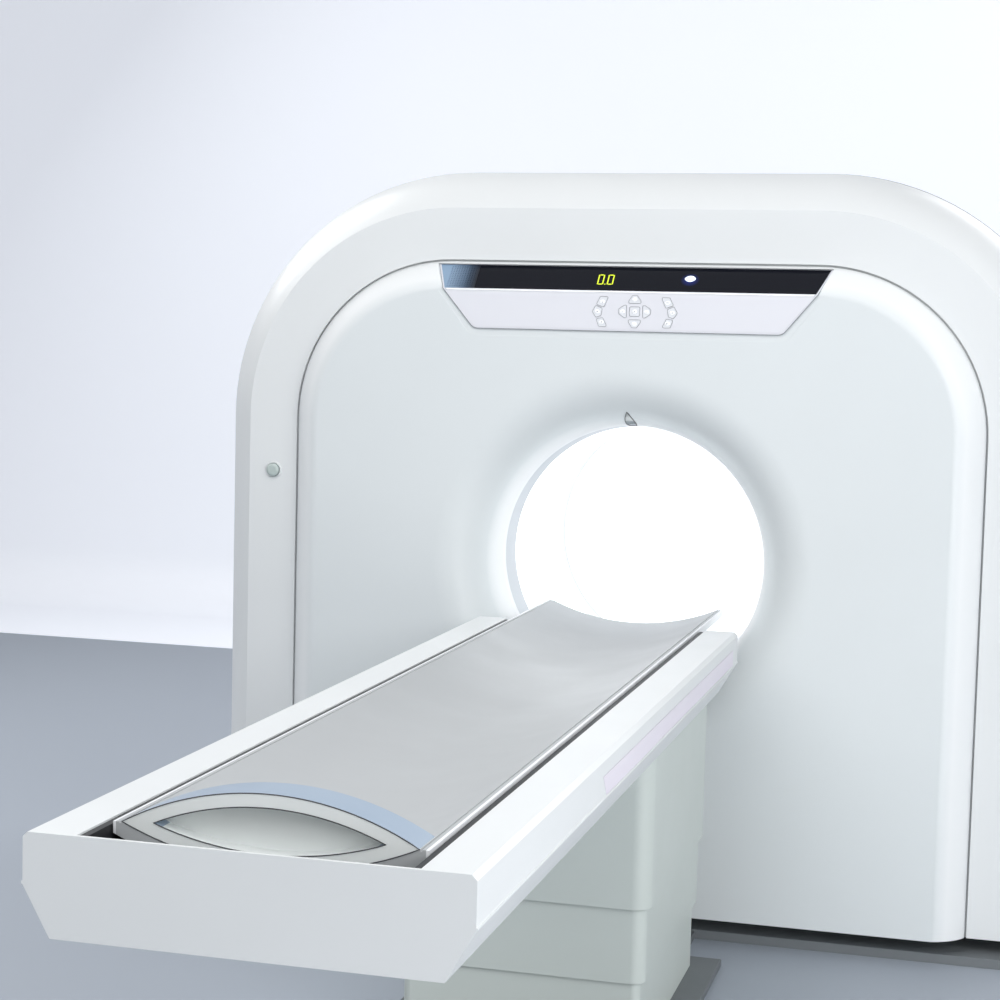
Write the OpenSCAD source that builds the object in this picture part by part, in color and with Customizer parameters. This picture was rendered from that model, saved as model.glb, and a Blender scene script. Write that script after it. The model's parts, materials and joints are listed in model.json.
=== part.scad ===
// CT scanner: a gantry with a round bore and a patient table that slides into it.
// X runs to the right, Y away from the table through the bore, Z up.
// The origin is on the floor, under the bore axis, in the plane of the front cover.

/* [Bore] */
// Height of the bore axis above the floor
iso_z = 950; // [940:2:964]
// Clear radius inside the bore liner
bore_r = 342; // [336:1:346]
// Wall of the bore liner
liner_t = 4; // [3:1:6]
// Radius where the flare leaves the front panel
mouth_r = 490; // [478:2:500]
// Radius at the inner end of the flare
throat_r = 348; // [344:1:352]
// Depth of the flare's inner end behind the front cover
throat_d = 110; // [95:5:130]
// Depth of the trim ring between flare and liner
ring_d = 110; // [95:5:115]

/* [Gantry covers] */
// Half the distance between the centres of the two top corners
corner_x = 474; // [468:2:490]
// Height of the centres of the two top corners
corner_z = 1295; // [1285:5:1315]
// Corner radius of the raised front panel
panel_r = 417; // [412:1:420]
// Width of the sealed gap round the front panel
panel_gap = 5; // [4:1:8]
// Corner radius of the flat front frame
face_r = 555; // [545:5:570]
// Corner radius of the gantry's outside
body_r = 660; // [655:5:680]
// Depth of the sloped front shoulder
shoulder_d = 200; // [170:10:230]
// How far the front panel stands out from the frame
panel_raise = 65; // [50:5:75]
// Width of the panel's sloped border
bevel_w = 78; // [70:2:90]
// Wall of all covers
cover_t = 8; // [6:1:10]
// Overall depth of the gantry behind the frame's front
gantry_d = 930; // [910:10:970]
// Depth of the sloped rear shoulder
rear_shoulder_d = 160; // [140:10:180]
// Gap between the covers and the floor
cover_z = 60; // [50:5:80]
// Number of air slots in each side cover
vent_count = 14; // [8:1:18]

/* [Console] */
// Half width of the console at its upper edge
console_half_w = 508; // [496:2:520]
// How much narrower the console is at its bend, on each side
console_taper = 30; // [20:5:40]
// Height of the keypad field
keypad_h = 100; // [98:1:106]
// Thickness of the display glass
glass_t = 3; // [2:0.5:4]
// Width of the speaker grille
speaker_w = 112; // [90:2:130]
// Height of a digit on the display
digit_h = 37; // [28:1:42]
// Width of a digit on the display
digit_w = 16; // [14:1:18]
// Distance of the arrow keys from the centre key
key_pitch = 30; // [29:0.5:32]
// Distance of the outer key groups from the centre key
group_x = 93; // [88:1:104]
// How far a key travels
key_travel = 1.5; // [1:0.25:2]
// Gap round each key
key_gap = 0.4; // [0.3:0.1:0.6]

/* [Rotor] */
// Outer radius of the rotor disc
rotor_r = 815; // [800:5:825]
// Thickness of the rotor disc
rotor_t = 35; // [30:1:40]
// Depth of the rotor disc's front face behind the front cover
rotor_y = 470; // [460:5:480]
// Inner radius of the rotor disc
rotor_bore_r = 400; // [390:5:410]
// Radius of the circle through the bearing balls
ball_circle_r = 467; // [464:1:470]
// Radius of a bearing ball
ball_r = 10; // [9:0.5:11]
// Number of bearing balls
ball_count = 32; // [20:1:40]
// Distance of the tube's axis from the bore axis
tube_c = 620; // [610:5:630]
// Radius of the tube housing
tube_r = 105; // [95:5:110]
// Number of detector modules
module_count = 24; // [16:1:28]
// Radius of the motor pulley
pulley_r = 60; // [50:5:70]
// Thickness of the drive belt
belt_t = 6; // [4:1:8]

/* [Table] */
// How far the cradle's rims lie below the bore axis
cradle_drop = 129; // [120:1:140]
// Half width of the cradle over its rims
cradle_half_w = 236; // [225:1:240]
// Depth of the cradle's hollow
cradle_sag = 48; // [40:2:56]
// Thickness of the cradle shell
cradle_t = 22; // [18:1:24]
// Width of each flat rim of the cradle
rim_w = 14; // [10:1:20]
// How far the cradle's tip reaches past the gantry's front
cradle_tip = 170; // [150:10:220]
// Distance of the cradle's foot end from the gantry's front
cradle_foot = 2440; // [2400:10:2460]
// Thickness of the arched foot board
foot_t = 75; // [65:5:90]
// Rise of the foot board above the rims
foot_rise = 58; // [50:2:66]
// Half width of the table's side covers
table_half_w = 330; // [320:2:340]
// Height of the side covers
side_h = 76; // [70:2:84]
// Distance of the table's head end from the gantry's front
table_head = 200; // [180:10:240]
// How far the table reaches past the cradle's foot end
table_over = 90; // [80:5:120]
// Wall of the table's covers
skin_t = 6; // [5:1:8]
// Half width of the pedestal's upper cover
pedestal_half_w = 280; // [270:2:286]
// Length of the pedestal
pedestal_len = 710; // [690:10:730]
// Distance of the pedestal's middle from the gantry's front
pedestal_y = 645; // [635:5:660]
// Height of the pedestal's fixed lower cover
stage_h = 290; // [270:5:290]
// Thickness of the table's floor plate
floor_t = 20; // [15:1:25]

/* [Hidden] */
$fn = 96;

// Running gap between pieces that slide on each other
slip = 0.4;
// Gap between fixed pieces that are let into each other
seat = 0.3;

// Depths of the bore's rings and liner behind the front cover
ring_front = throat_d + seat;
liner_front = throat_d + ring_d;
liner_back = gantry_d - throat_d - ring_d;
inner_body_r = body_r - cover_t;
body_front = shoulder_d;
body_back = gantry_d - rear_shoulder_d;
flat_r = panel_r - bevel_w;

// Base of the gantry
base_t = 24;
base_half_w = 1040;
base_front = -40;
base_back = 860;
anchor_x = base_half_w - 50;
anchor_y = [base_front + 200, base_back - 60];
anchor_r = 9;
sill_z = cover_z;
sill_h = 26;
sill_w = 80;
sill_front = body_front + 60;
sill_back = body_back - 70;
gusset_x = 700;
gusset_h = 360;
gusset_t = 20;

// Stator plate and bearing, from the rotor disc's place
rotor_back = rotor_y + rotor_t;
stator_y = rotor_back + 15;
stator_t = 50;
stator_back = stator_y + stator_t;
stator_half_w = 930;
bearing_y = stator_y + stator_t / 2;
outer_ring_r = ball_circle_r + 52;
race_gap = 4;
inner_ring_r = rotor_bore_r + 25;
inner_ring_back = stator_back + 15;
bolt_circle_r = (inner_ring_r + ball_circle_r - race_gap) / 2;
bolt_count = 12;
bolt_r = 8;
bolt_head_r = 1.6 * bolt_r;
shaft_r = 14;
window_x = 560;
window_z = sill_z + 90;
window_r = 60;

// Pieces on the rotor's front face
rotor_front = 230;
pocket_r = 36;
tube_dome = 40;
band_h = 6;
tube_band = rotor_front + 130;
socket_angle = 38;
socket_r = 26;
source_r = tube_c;
detector_r = source_r + bolt_circle_r + bolt_head_r + 8;
detector_t = 70;
detector_angle = 24;
module_t = 14;
cooler_angle = 46;
cooler_in = 480;
cooler_out = 740;
cooler_w = 210;
weight_in = 500;
weight_t = 120;
fin_pitch = 20;
generator_out = 760;
acquisition_out = 740;

// Slip ring behind the bearing
slip_len = 95;
slip_r = ball_circle_r - race_gap - 1;
brush_half_h = 45;
brush_deep = 90;

// Motor and belt
motor_pos = [-860, 330];
flange_w = 2.6;
flange_h = belt_t + 2;
belt_w = rotor_t - 2 * (flange_w + slip);

// Direction from the rotor's axis to the pulley's, and the belt's two tangent directions
belt_span = [motor_pos.x, motor_pos.y - iso_z];
belt_dir = atan2(belt_span.y, belt_span.x);
belt_swing = acos((rotor_r - pulley_r) / norm(belt_span));

// Sloped border of the front panel, as radius and depth
bevel_curve = swell([flat_r, -panel_raise], [panel_r, 0], 25, 72, 6);
bevel_inside = swell([flat_r - 3, cover_t - panel_raise], [panel_r - cover_t, cover_t], 25, 72, 6);

// Display console in the top of the front panel
console_top = corner_z + panel_r - 7;
console_bend = corner_z + flat_r + 7;
console_bottom = console_bend - keypad_h;
console_proud = 3;
console_y = -panel_raise - console_proud;
console_top_y = -2;
console_deep = 24;
slope_a = atan2(console_top_y - console_y, console_top - console_bend);
slope_l = norm([console_top_y - console_y, console_top - console_bend]);
glass_margin = 2;
keypad_t = 3;
keypad_edge = 4;
border_w = 18;
border_deep = 1.2;
keypad_x = 24;
keypad_z = (console_bend + console_bottom) / 2;
key_round = 3.5;
pocket_h = keypad_h - 2 * keypad_edge - 2;
key_proud = 0.8;
key_len = 6.5;
key_room = key_len - key_proud + key_travel + 0.4 - keypad_t;
digit_x = -58;
digit_z = -4;
digit_pitch = digit_w + 9;
mark_x = 156;
mark_z = 4;
mark_half_w = 14;
mark_half_h = 10.8;
stroke = 3;
speaker_x = speaker_w - console_half_w;
dot_pitch = 6.5;
dot_r = 1.6;

// Outlines of the keys, each about its own middle, and the places of the left group
KEYS = [
    "up", "down", "left", "right", "centre", "left_top", "left_middle", "left_bottom",
    "right_top", "right_middle", "right_bottom"
];
centre_points = [[-13.5, -12.3], [13.5, -12.3], [13.5, 12.3], [-13.5, 12.3]];
arrow_points = [[-17, -10], [17, -10], [15.5, -3], [6, 11], [-6, 11], [-15.5, -3]];
top_points = [[16.5, 12], [-5.5, 11.5], [-15.9, -8.6], [4.1, -16]];
middle_points = [[14, 9], [-4, 16.5], [-13, 0], [-2.5, -14.7], [10.5, -9.7]];
bottom_points = [[4, 12], [-13.5, 8.7], [-6.3, -11.4], [16, -11.8]];
top_place = [10 - group_x, 25];
middle_place = [-3 - group_x, -2];
bottom_place = [8 - group_x, -28];

// Laser window above the bore
laser_l = 118;
laser_w = 26;
laser_y = 48;
laser_proud = 0.6;

// Stop buttons on the front cover
stop_x = (panel_r + panel_gap + face_r) / 2 + corner_x - 2;
stop_z = iso_z + 200;
stop_r = 17;
stop_travel = 4;

// Table heights, all hung from the cradle's rims
rim_z = iso_z - cradle_drop;
table_foot = cradle_foot + table_over;
hollow_half_w = cradle_half_w - rim_w;
hollow_r = (pow(hollow_half_w, 2) + pow(cradle_sag, 2)) / (2 * cradle_sag);
hollow_z = rim_z - cradle_sag + hollow_r;
ledge_z = rim_z - 2;
side_z = ledge_z - side_h;
lip_out = 2;
lip_h = 5;
stripe_t = 1.8;
stripe_z = side_z + lip_h + seat;
stripe_h = 0.48 * side_h;
stripe_foot = 785;
stripe_slant = 30;
stripe_len = table_foot - table_head - stripe_foot - 70;
cradle_room = 4;
rail_x = cradle_half_w + 2;
rail_w = 12;
rail_z = rim_z - 96;
rail_flange = 50;
rail_t = 6;
rail_in = 12;
frame_h = 50;
frame_in = 20;
beam_w = 60;
beam_wall = 5;
cross_w = 60;
cross_count = 6;
cross_pitch = (table_foot - table_head - 2 * frame_in - cross_w) / (cross_count - 1);
cross_y = [for (i = [0 : cross_count - 1]) frame_in - table_foot + i * cross_pitch];
roller_r = 18;
roller_half_l = 70;
roller_y = table_head + frame_in + 16;
tray_z = rail_z - frame_h;
carriage_z = rail_z + rail_t + seat;
carriage_t = 12;
board_wall = 20;
recess_deep = 30;
groove_w = 2.5;
groove_deep = 2;
carriage_foot = cradle_foot - 40;
carriage_len = 780;

// Pedestal and lifting columns
column_y = [pedestal_y - 200, pedestal_y + 200];
column_w = 150;
column_wall = 8;
nest_gap = 4;
hanger_t = 6;
middle_w = column_w - 2 * column_wall - 2 * slip;
inner_w = middle_w - 2 * column_wall - 2 * slip;
shell_step = skin_t + nest_gap;
corner_round = 40;
plate_edge = 44;
lower_top = floor_t + stage_h;
middle_bottom = lower_top - 130;
middle_top = lower_top + 160;
upper_bottom = lower_top + 30;

// Points of a curve that swells from one place to another, as part of an ellipse
function swell(p, q, a0, a1, n) = [
    for (i = [0 : n])
        let (t = a0 + (a1 - a0) * i / n)
            [
                p.x + (q.x - p.x) * (sin(t) - sin(a0)) / (sin(a1) - sin(a0)),
                p.y + (q.y - p.y) * (cos(a0) - cos(t)) / (cos(a0) - cos(a1))
            ]
];

function reversed(v) = [for (i = [len(v) - 1 : -1 : 0]) v[i]];
function flipped(points) = [for (p = points) [-p.x, p.y]];

// Points of the arc that rounds the corner q between p and s, grown by a clearance
function corner_arc(p, q, s, r, g) =
    let (
        e = (q - p) / norm(q - p),
        f = (s - q) / norm(s - q),
        turn = acos(e * f),
        middle = q + (f - e) / norm(f - e) * r / cos(turn / 2),
        start = atan2(-e.x, e.y)
    )
    [for (k = [0 : 4]) let (a = start + turn * k / 4) middle + (r + g) * [cos(a), sin(a)]];

// A convex outline with every corner rounded
function rounded_points(v, r, g) = [
    for (i = [0 : len(v) - 1])
        each corner_arc(v[(i + len(v) - 1) % len(v)], v[i], v[(i + 1) % len(v)], r, g)
];

// A flat shape in X and Z, extruded along Y
module along_y(y0, y1) {
    translate([0, y1, 0]) rotate([90, 0, 0]) linear_extrude(y1 - y0) children();
}

// A flat shape in Y and Z, extruded along X
module along_x(x0, x1) {
    translate([x0, 0, 0]) rotate([90, 0, 90]) linear_extrude(x1 - x0) children();
}

// A round bar along Y
module rod_y(r, y0, y1) {
    translate([0, y0, 0]) rotate([-90, 0, 0]) cylinder(r = r, h = y1 - y0);
}

// A profile of radius and depth, turned round the bore axis
module around_bore(angle = 360) {
    translate([0, 0, iso_z]) rotate([90, 0, 0]) rotate_extrude(angle = angle) mirror([0, 1]) children();
}

module box(low, high) {
    translate(low) cube(high - low);
}

// A profile of radius and depth, swept up one side, over both corners and down the other side
module arch_sweep(z0, legs = true) {
    for (side = [0, 1]) mirror([side, 0, 0]) {
        translate([corner_x, 0, corner_z]) rotate([90, 0, 0])
            rotate_extrude(angle = 90) mirror([0, 1]) children();
        if (legs) translate([corner_x, 0, z0]) linear_extrude(corner_z - z0) children();
    }
    translate([corner_x, 0, corner_z]) rotate([0, -90, 0]) linear_extrude(2 * corner_x) children();
}

// The gantry's outline with a given corner radius
module arch_2d(r, z0) {
    translate([-corner_x - r, z0]) square([2 * (corner_x + r), corner_z - z0]);
    translate([-corner_x, z0]) square([2 * corner_x, corner_z + r - z0]);
    for (x = [-corner_x, corner_x]) translate([x, corner_z]) circle(r);
}

// Welded floor plate with sills that carry the side covers
module gantry_base() color("dimgray") {
    difference() {
        box([-base_half_w, base_front, 0], [base_half_w, base_back, base_t]);
        for (x = [-anchor_x, anchor_x], y = anchor_y)
            translate([x, y, -1]) cylinder(r = anchor_r, h = base_t + 2);
    }
    for (side = [0, 1]) mirror([side, 0, 0]) {
        box([base_half_w - sill_w, sill_front, base_t], [base_half_w, sill_back, sill_z]);
        box(
            [base_half_w - sill_w, sill_front, sill_z],
            [corner_x + inner_body_r - seat, sill_back, sill_z + sill_h]
        );
        gusset();
    }
    box([-stator_half_w, stator_y - 20, base_t], [stator_half_w, stator_back + 20, sill_z]);
}

// Triangular plate that stiffens the bearing plate from behind
module gusset() {
    along_x(gusset_x - gusset_t / 2, gusset_x + gusset_t / 2) polygon([
        [stator_back, base_t], [base_back - 60, base_t], [base_back - 60, base_t + 40],
        [stator_back + 30, sill_z + gusset_h], [stator_back, sill_z + gusset_h]
    ]);
}

// Upright plate that holds the main bearing
module stator_frame() color("slategray") {
    along_y(stator_y, stator_back) difference() {
        union() {
            translate([-stator_half_w, sill_z]) square([2 * stator_half_w, iso_z - sill_z]);
            intersection() {
                translate([0, iso_z]) circle(stator_half_w);
                translate([-stator_half_w, iso_z]) square([2 * stator_half_w, stator_half_w]);
            }
        }
        translate([0, iso_z]) circle(outer_ring_r + 0.1);
        translate(motor_pos) circle(shaft_r + 10);
        for (x = [-window_x, window_x]) translate([x, window_z]) circle(window_r);
    }
}

module bearing_outer_ring() color("silver") {
    around_bore() difference() {
        translate([ball_circle_r + race_gap, stator_y])
            square([outer_ring_r - ball_circle_r - race_gap, stator_t]);
        translate([ball_circle_r, bearing_y]) circle(ball_r + seat);
    }
}

module bearing_inner_ring() color("silver") {
    difference() {
        around_bore() difference() {
            translate([inner_ring_r, rotor_back])
                square([ball_circle_r - race_gap - inner_ring_r, inner_ring_back - rotor_back]);
            translate([ball_circle_r, bearing_y]) circle(ball_r + seat);
        }
        at_bolts() rod_y(bolt_r + seat, rotor_back - 1, rotor_back + 30);
    }
}

// Balls held at their spacing by a thin cage
module bearing_balls() color("gainsboro") {
    around_bore() translate([ball_circle_r - 1.5, bearing_y - 4]) square([3, 8]);
    for (i = [0 : ball_count - 1]) translate([0, bearing_y, iso_z]) rotate([0, i * 360 / ball_count, 0])
        translate([ball_circle_r, 0, 0]) sphere(ball_r);
}

module at_bolts() {
    for (i = [0 : bolt_count - 1]) translate([0, 0, iso_z]) rotate([0, (i + 0.5) * 360 / bolt_count, 0])
        translate([bolt_circle_r, 0, 0]) children();
}

// Turning disc that carries the tube and the detector, with a belt groove in its rim
module rotor_disc() color("lightsteelblue") {
    difference() {
        around_bore() difference() {
            translate([rotor_bore_r, rotor_y]) square([rotor_r + flange_h - rotor_bore_r, rotor_t]);
            translate([rotor_r, rotor_y + flange_w]) square([flange_h + 1, rotor_t - 2 * flange_w]);
        }
        at_bolts() rod_y(bolt_r + seat, rotor_y - 1, rotor_back + 1);
        for (a = [22.5 : 45 : 360]) translate([0, 0, iso_z]) rotate([0, a, 0])
            translate([rotor_r - 85, 0, 0]) rod_y(pocket_r, rotor_y - 1, rotor_back + 1);
    }
}

module rotor_bolts() color("gray") {
    at_bolts() {
        rod_y(bolt_head_r, rotor_y - 10, rotor_y);
        rod_y(bolt_r, rotor_y - 5, rotor_back + 25);
    }
}

// Tube housing with its cooler beside it
module xray_tube() color("goldenrod") {
    translate([0, 0, iso_z + tube_c]) {
        rotate([-90, 0, 0]) rotate_extrude() polygon(concat(
            [[0, rotor_front]],
            swell([tube_r - tube_dome, rotor_front], [tube_r, rotor_front + tube_dome], 0, 90, 8),
            [
                [tube_r, tube_band], [tube_r + band_h, tube_band], [tube_r + band_h, tube_band + 14],
                [tube_r, tube_band + 14], [tube_r, rotor_y], [0, rotor_y]
            ]
        ));
        for (a = [-socket_angle, socket_angle]) rotate([0, a, 0])
            translate([0, tube_band - 40, tube_r - 10]) cylinder(r = socket_r, h = 50);
    }
    translate([0, 0, iso_z]) rotate([0, -cooler_angle, 0]) {
        box([cooler_in, rotor_front + 30, -cooler_w / 2], [cooler_out, rotor_y, cooler_w / 2]);
        for (z = [15 - cooler_w / 2 : fin_pitch : cooler_w / 2 - 12])
            box([cooler_in + 15, rotor_front + 8, z - 3], [cooler_out - 15, rotor_front + 30, z + 3]);
    }
}

module collimator() color("dimgray") {
    low = iso_z + rotor_bore_r + 12;
    high = iso_z + tube_c - tube_r - band_h - seat;
    along_y(rotor_front + 40, rotor_y) polygon([[-60, low], [60, low], [90, high], [-90, high]]);
}

// Curved detector housing, centred on the tube
module detector_sweep(angle) {
    translate([0, 0, iso_z + source_r]) rotate([90, 0, 0]) rotate([0, 0, -90 - angle])
        rotate_extrude(angle = 2 * angle, $fn = 360) mirror([0, 1]) children();
}

module detector_housing() color("steelblue") {
    detector_sweep(detector_angle) {
        translate([detector_r, rotor_front + 40]) square([detector_t, rotor_y - rotor_front - 40]);
        for (y = [rotor_front + 70 : fin_pitch : rotor_y - 50])
            translate([detector_r + detector_t - 1, y]) square([15, 5]);
    }
    detector_modules();
}

// Row of modules on the housing's inner face, each looking at the tube
module detector_modules() {
    pitch = 2 * (detector_angle - 1) / module_count;
    for (i = [0 : module_count - 1])
        translate([0, 0, iso_z + source_r]) rotate([0, -(i + 0.5 - module_count / 2) * pitch, 0])
            box([-15, rotor_front + 60, slip - detector_r], [15, rotor_y - 40, module_t - detector_r]);
}

module generator_box() color("slategray") {
    side = rotor_bore_r + 50;
    box([-generator_out, rotor_front, iso_z - 190], [-side, rotor_y, iso_z + 150]);
    for (z = [-150 : 60 : 90])
        box([20 - generator_out, rotor_front - 6, iso_z + z], [-side - 20, rotor_front, iso_z + z + 30]);
}

module acquisition_box() color("cadetblue") {
    side = rotor_bore_r + 50;
    box([side, rotor_front + 20, iso_z - 170], [acquisition_out, rotor_y, iso_z + 130]);
    for (x = [side + 70 : 60 : acquisition_out - 60])
        box([x, rotor_front + 12, iso_z - 140], [x + 30, rotor_front + 20, iso_z + 100]);
}

module counterweight() color("darkgray") {
    translate([0, 0, iso_z]) rotate([0, cooler_angle - 180, 0]) difference() {
        box([weight_in, rotor_y - weight_t, -90], [weight_in + 200, rotor_y, 90]);
        for (y = [rotor_y - weight_t + 24 : 24 : rotor_y - 20])
            box([weight_in - 1, y - 1, -91], [weight_in + 3, y + 1, 91]);
    }
}

// Grooved ring that brings power and data to the rotor
module slip_ring() color("peru") {
    around_bore() difference() {
        translate([rotor_bore_r + 2, inner_ring_back]) square([slip_r - rotor_bore_r - 2, slip_len]);
        for (i = [0 : 4]) translate([slip_r - 3, inner_ring_back + 9 + i * 17]) square([4, 9]);
    }
}

module brush_block() color("black") {
    difference() {
        union() {
            box(
                [slip_r - 8, inner_ring_back + 5, iso_z - brush_half_h],
                [slip_r + brush_deep, inner_ring_back + slip_len - 5, iso_z + brush_half_h]
            );
            box(
                [outer_ring_r + 10, stator_back, iso_z - brush_half_h],
                [slip_r + brush_deep, inner_ring_back + 6, iso_z + brush_half_h]
            );
        }
        translate([0, 0, iso_z]) rod_y(slip_r + slip, inner_ring_back, inner_ring_back + slip_len);
    }
}

module drive_motor() color("darkslateblue") {
    translate([motor_pos.x, 0, motor_pos.y]) difference() {
        union() {
            box([-90, stator_back, -90], [90, stator_back + 14, 90]);
            rod_y(80, stator_back + 14, stator_back + 170);
        }
        rod_y(shaft_r + slip, stator_back - 1, stator_back + 60);
    }
}

module motor_pulley() color("silver") {
    translate([motor_pos.x, 0, motor_pos.y]) {
        rod_y(pulley_r, rotor_y, rotor_back);
        rod_y(pulley_r + flange_h, rotor_y - 4, rotor_y + flange_w);
        rod_y(pulley_r + flange_h, rotor_back - flange_w, rotor_back + 4);
        rod_y(shaft_r, rotor_back - 1, stator_back + 55);
    }
}

module belt_outline(g) {
    big = rotor_r + slip + g;
    small = pulley_r + slip + g;
    translate([0, iso_z]) circle(big, $fn = 200);
    translate(motor_pos) circle(small);
    n1 = [cos(belt_dir + belt_swing), sin(belt_dir + belt_swing)];
    n2 = [cos(belt_dir - belt_swing), sin(belt_dir - belt_swing)];
    polygon([[0, iso_z] + big * n1, motor_pos + small * n1, motor_pos + small * n2, [0, iso_z] + big * n2]);
}

module drive_belt() color("#202020") {
    along_y(rotor_y + flange_w + slip, rotor_y + flange_w + slip + belt_w) difference() {
        belt_outline(belt_t);
        belt_outline(0);
    }
}

// Flat front frame with its sloped shoulder
module front_cover() color("whitesmoke") {
    inner_r = panel_r + panel_gap;
    difference() {
        arch_sweep(cover_z) polygon(concat(
            [[inner_r, 0]],
            swell([face_r, 0], [body_r, shoulder_d], 30, 90, 9),
            reversed(swell([face_r - cover_t / 2, cover_t], [inner_body_r, shoulder_d], 30, 90, 9)),
            [[inner_r + cover_t, cover_t], [inner_r + cover_t, 30], [inner_r, 30]]
        ));
        for (x = [-stop_x, stop_x]) translate([x, 0, stop_z]) rod_y(stop_r + slip, -1, cover_t + 1);
    }
}

// Profile of the flare, from the panel into the bore
module flare_profile(y_mouth, y_throat) {
    s = sign(y_throat - y_mouth);
    polygon(concat(
        [[mouth_r + 8, y_mouth]],
        swell([mouth_r, y_mouth], [throat_r, y_throat], 0, 90, 10),
        reversed(swell([mouth_r + 4, y_mouth + s * cover_t], [throat_r + cover_t, y_throat], 0, 90, 10)),
        [[mouth_r + 8, y_mouth + s * cover_t]]
    ));
}

// Raised front panel with the bore's flare
module front_panel() color("gainsboro") {
    difference() {
        union() {
            arch_sweep(cover_z) polygon(concat(
                [[flat_r - 12, -panel_raise]], bevel_curve, [[panel_r, 22], [panel_r - cover_t, 22]],
                reversed(bevel_inside), [[flat_r - 12, cover_t - panel_raise]]
            ));
            along_y(-panel_raise, cover_t - panel_raise) difference() {
                arch_2d(flat_r, cover_z);
                translate([0, iso_z]) circle(mouth_r);
            }
            translate([0, 0, cover_z]) linear_extrude(cover_t) polygon(concat(
                [for (p = bevel_curve) [corner_x + p.x, p.y]],
                [for (p = reversed(bevel_curve)) [-corner_x - p.x, p.y]]
            ));
            around_bore() flare_profile(-panel_raise, throat_d);
        }
        along_y(-panel_raise - 10, console_top_y + console_deep + 1) console_outline(0.8);
        along_y(-panel_raise - 1, -panel_raise + border_deep) intersection() {
            console_outline(border_w);
            translate([-console_half_w, console_bottom - 2 * border_w])
                square([2 * console_half_w, keypad_h + 2 * border_w - 2]);
        }
        laser_column(slip);
    }
}

module panel_seal() color("#303030") {
    arch_sweep(cover_z) translate([panel_r + seat, 8]) square([panel_gap - 2 * seat, 12]);
}

// Trim rings between each flare and the liner
module bore_rings() color("silver") {
    around_bore() polygon([
        [throat_r, ring_front], [throat_r + cover_t, ring_front],
        [bore_r + cover_t, liner_front], [bore_r, liner_front]
    ]);
    around_bore() polygon([
        [throat_r, gantry_d - ring_front], [bore_r, liner_back],
        [bore_r + cover_t, liner_back], [throat_r + cover_t, gantry_d - ring_front]
    ]);
}

module bore_liner() color("white") {
    around_bore() translate([bore_r, liner_front + seat])
        square([liner_t, liner_back - liner_front - 2 * seat]);
}

module rear_cover() color("whitesmoke") {
    inside = gantry_d - cover_t;
    difference() {
        union() {
            arch_sweep(cover_z) polygon(concat(
                [[face_r - 12, gantry_d]],
                swell([face_r, gantry_d], [body_r, body_back], 30, 90, 8),
                reversed(swell([face_r - cover_t / 2, inside], [inner_body_r, body_back], 30, 90, 8)),
                [[face_r - 12, inside]]
            ));
            along_y(inside, gantry_d) difference() {
                arch_2d(face_r, cover_z);
                translate([0, iso_z]) circle(mouth_r);
            }
            around_bore() flare_profile(gantry_d, gantry_d - throat_d);
        }
        arch_sweep(cover_z - 1) translate([panel_r, gantry_d - 3]) square([panel_gap, 4]);
    }
}

// Side covers with rows of air slots
module side_covers() color("whitesmoke") {
    for (side = [0, 1]) mirror([side, 0, 0]) difference() {
        translate([corner_x + inner_body_r, body_front, cover_z])
            cube([cover_t, body_back - body_front, corner_z - cover_z]);
        for (i = [0 : vent_count - 1])
            box(
                [corner_x + inner_body_r - 1, body_front + 120, cover_z + 90 + i * 26],
                [corner_x + body_r + 1, body_back - 120, cover_z + 102 + i * 26]
            );
    }
}

module top_cover() color("whitesmoke") {
    difference() {
        arch_sweep(0, legs = false) translate([inner_body_r, body_front])
            square([cover_t, body_back - body_front]);
        for (x = [-300 : 24 : 300])
            box(
                [x - 6, body_front + 200, corner_z + inner_body_r - 1],
                [x + 6, body_back - 200, corner_z + body_r + 1]
            );
    }
}

// Outline of the console: a wide slanted bar over a narrower keypad with rounded corners
module console_outline(g) {
    bend_x = console_half_w - console_taper;
    corner = 25;
    foot = [bend_x - 95, console_bottom + corner];
    right = concat(
        [[console_half_w + g, console_top + g], [bend_x + g, console_bend]],
        [for (a = [-38 : -13 : -90]) foot + (corner + g) * [cos(a), sin(a)]]
    );
    polygon(concat(right, reversed(flipped(right))));
}

// Local frame on the console's slope: x right, z up the slope, y into it
module on_slope() {
    translate([0, console_y, console_bend]) rotate([-slope_a, 0, 0]) children();
}

function slope_edge(z) = console_half_w - glass_margin - 3 - console_taper * (1 - z / slope_l);

// The whole field for glass and grille, grown by a clearance
module slope_field(g = 0) {
    z0 = glass_margin - g;
    z1 = slope_l - glass_margin + g;
    right = [[slope_edge(z0) + g, z0], [slope_edge(z1) + g, z1]];
    polygon(concat(right, reversed(flipped(right))));
}

// The stretch of the field that the speaker takes
module speaker_field(g = 0) {
    intersection() {
        slope_field();
        translate([-console_half_w, 0]) square([speaker_x + g + console_half_w, slope_l]);
    }
}

module console_housing() color("lavender") {
    difference() {
        intersection() {
            along_y(-panel_raise - 20, 60) console_outline(0);
            along_x(-console_half_w - 5, console_half_w + 5) polygon([
                [console_top_y, console_top + 1], [console_y, console_bend], [console_y, console_bottom - 1],
                [console_y + console_deep, console_bottom - 1], [console_y + console_deep, console_bend - 10],
                [console_top_y + console_deep, console_top + 1]
            ]);
        }
        on_slope() along_y(-1, glass_t) slope_field(seat);
        along_y(console_y - 1, console_y + keypad_t) keypad_outline(seat);
        box(
            [keypad_x - group_x - 20, console_y, keypad_z - pocket_h / 2],
            [keypad_x + group_x + 20, console_y + keypad_t + key_room, keypad_z + pocket_h / 2]
        );
    }
    box([-console_half_w + console_taper + 8, console_y - 1.2, console_bend - keypad_edge + 0.5],
        [console_half_w - console_taper - 8, console_y, console_bend - 0.5]);
}

module display_glass() color("#101418") {
    on_slope() along_y(0, glass_t) difference() {
        slope_field();
        speaker_field(seat);
    }
}

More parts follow.
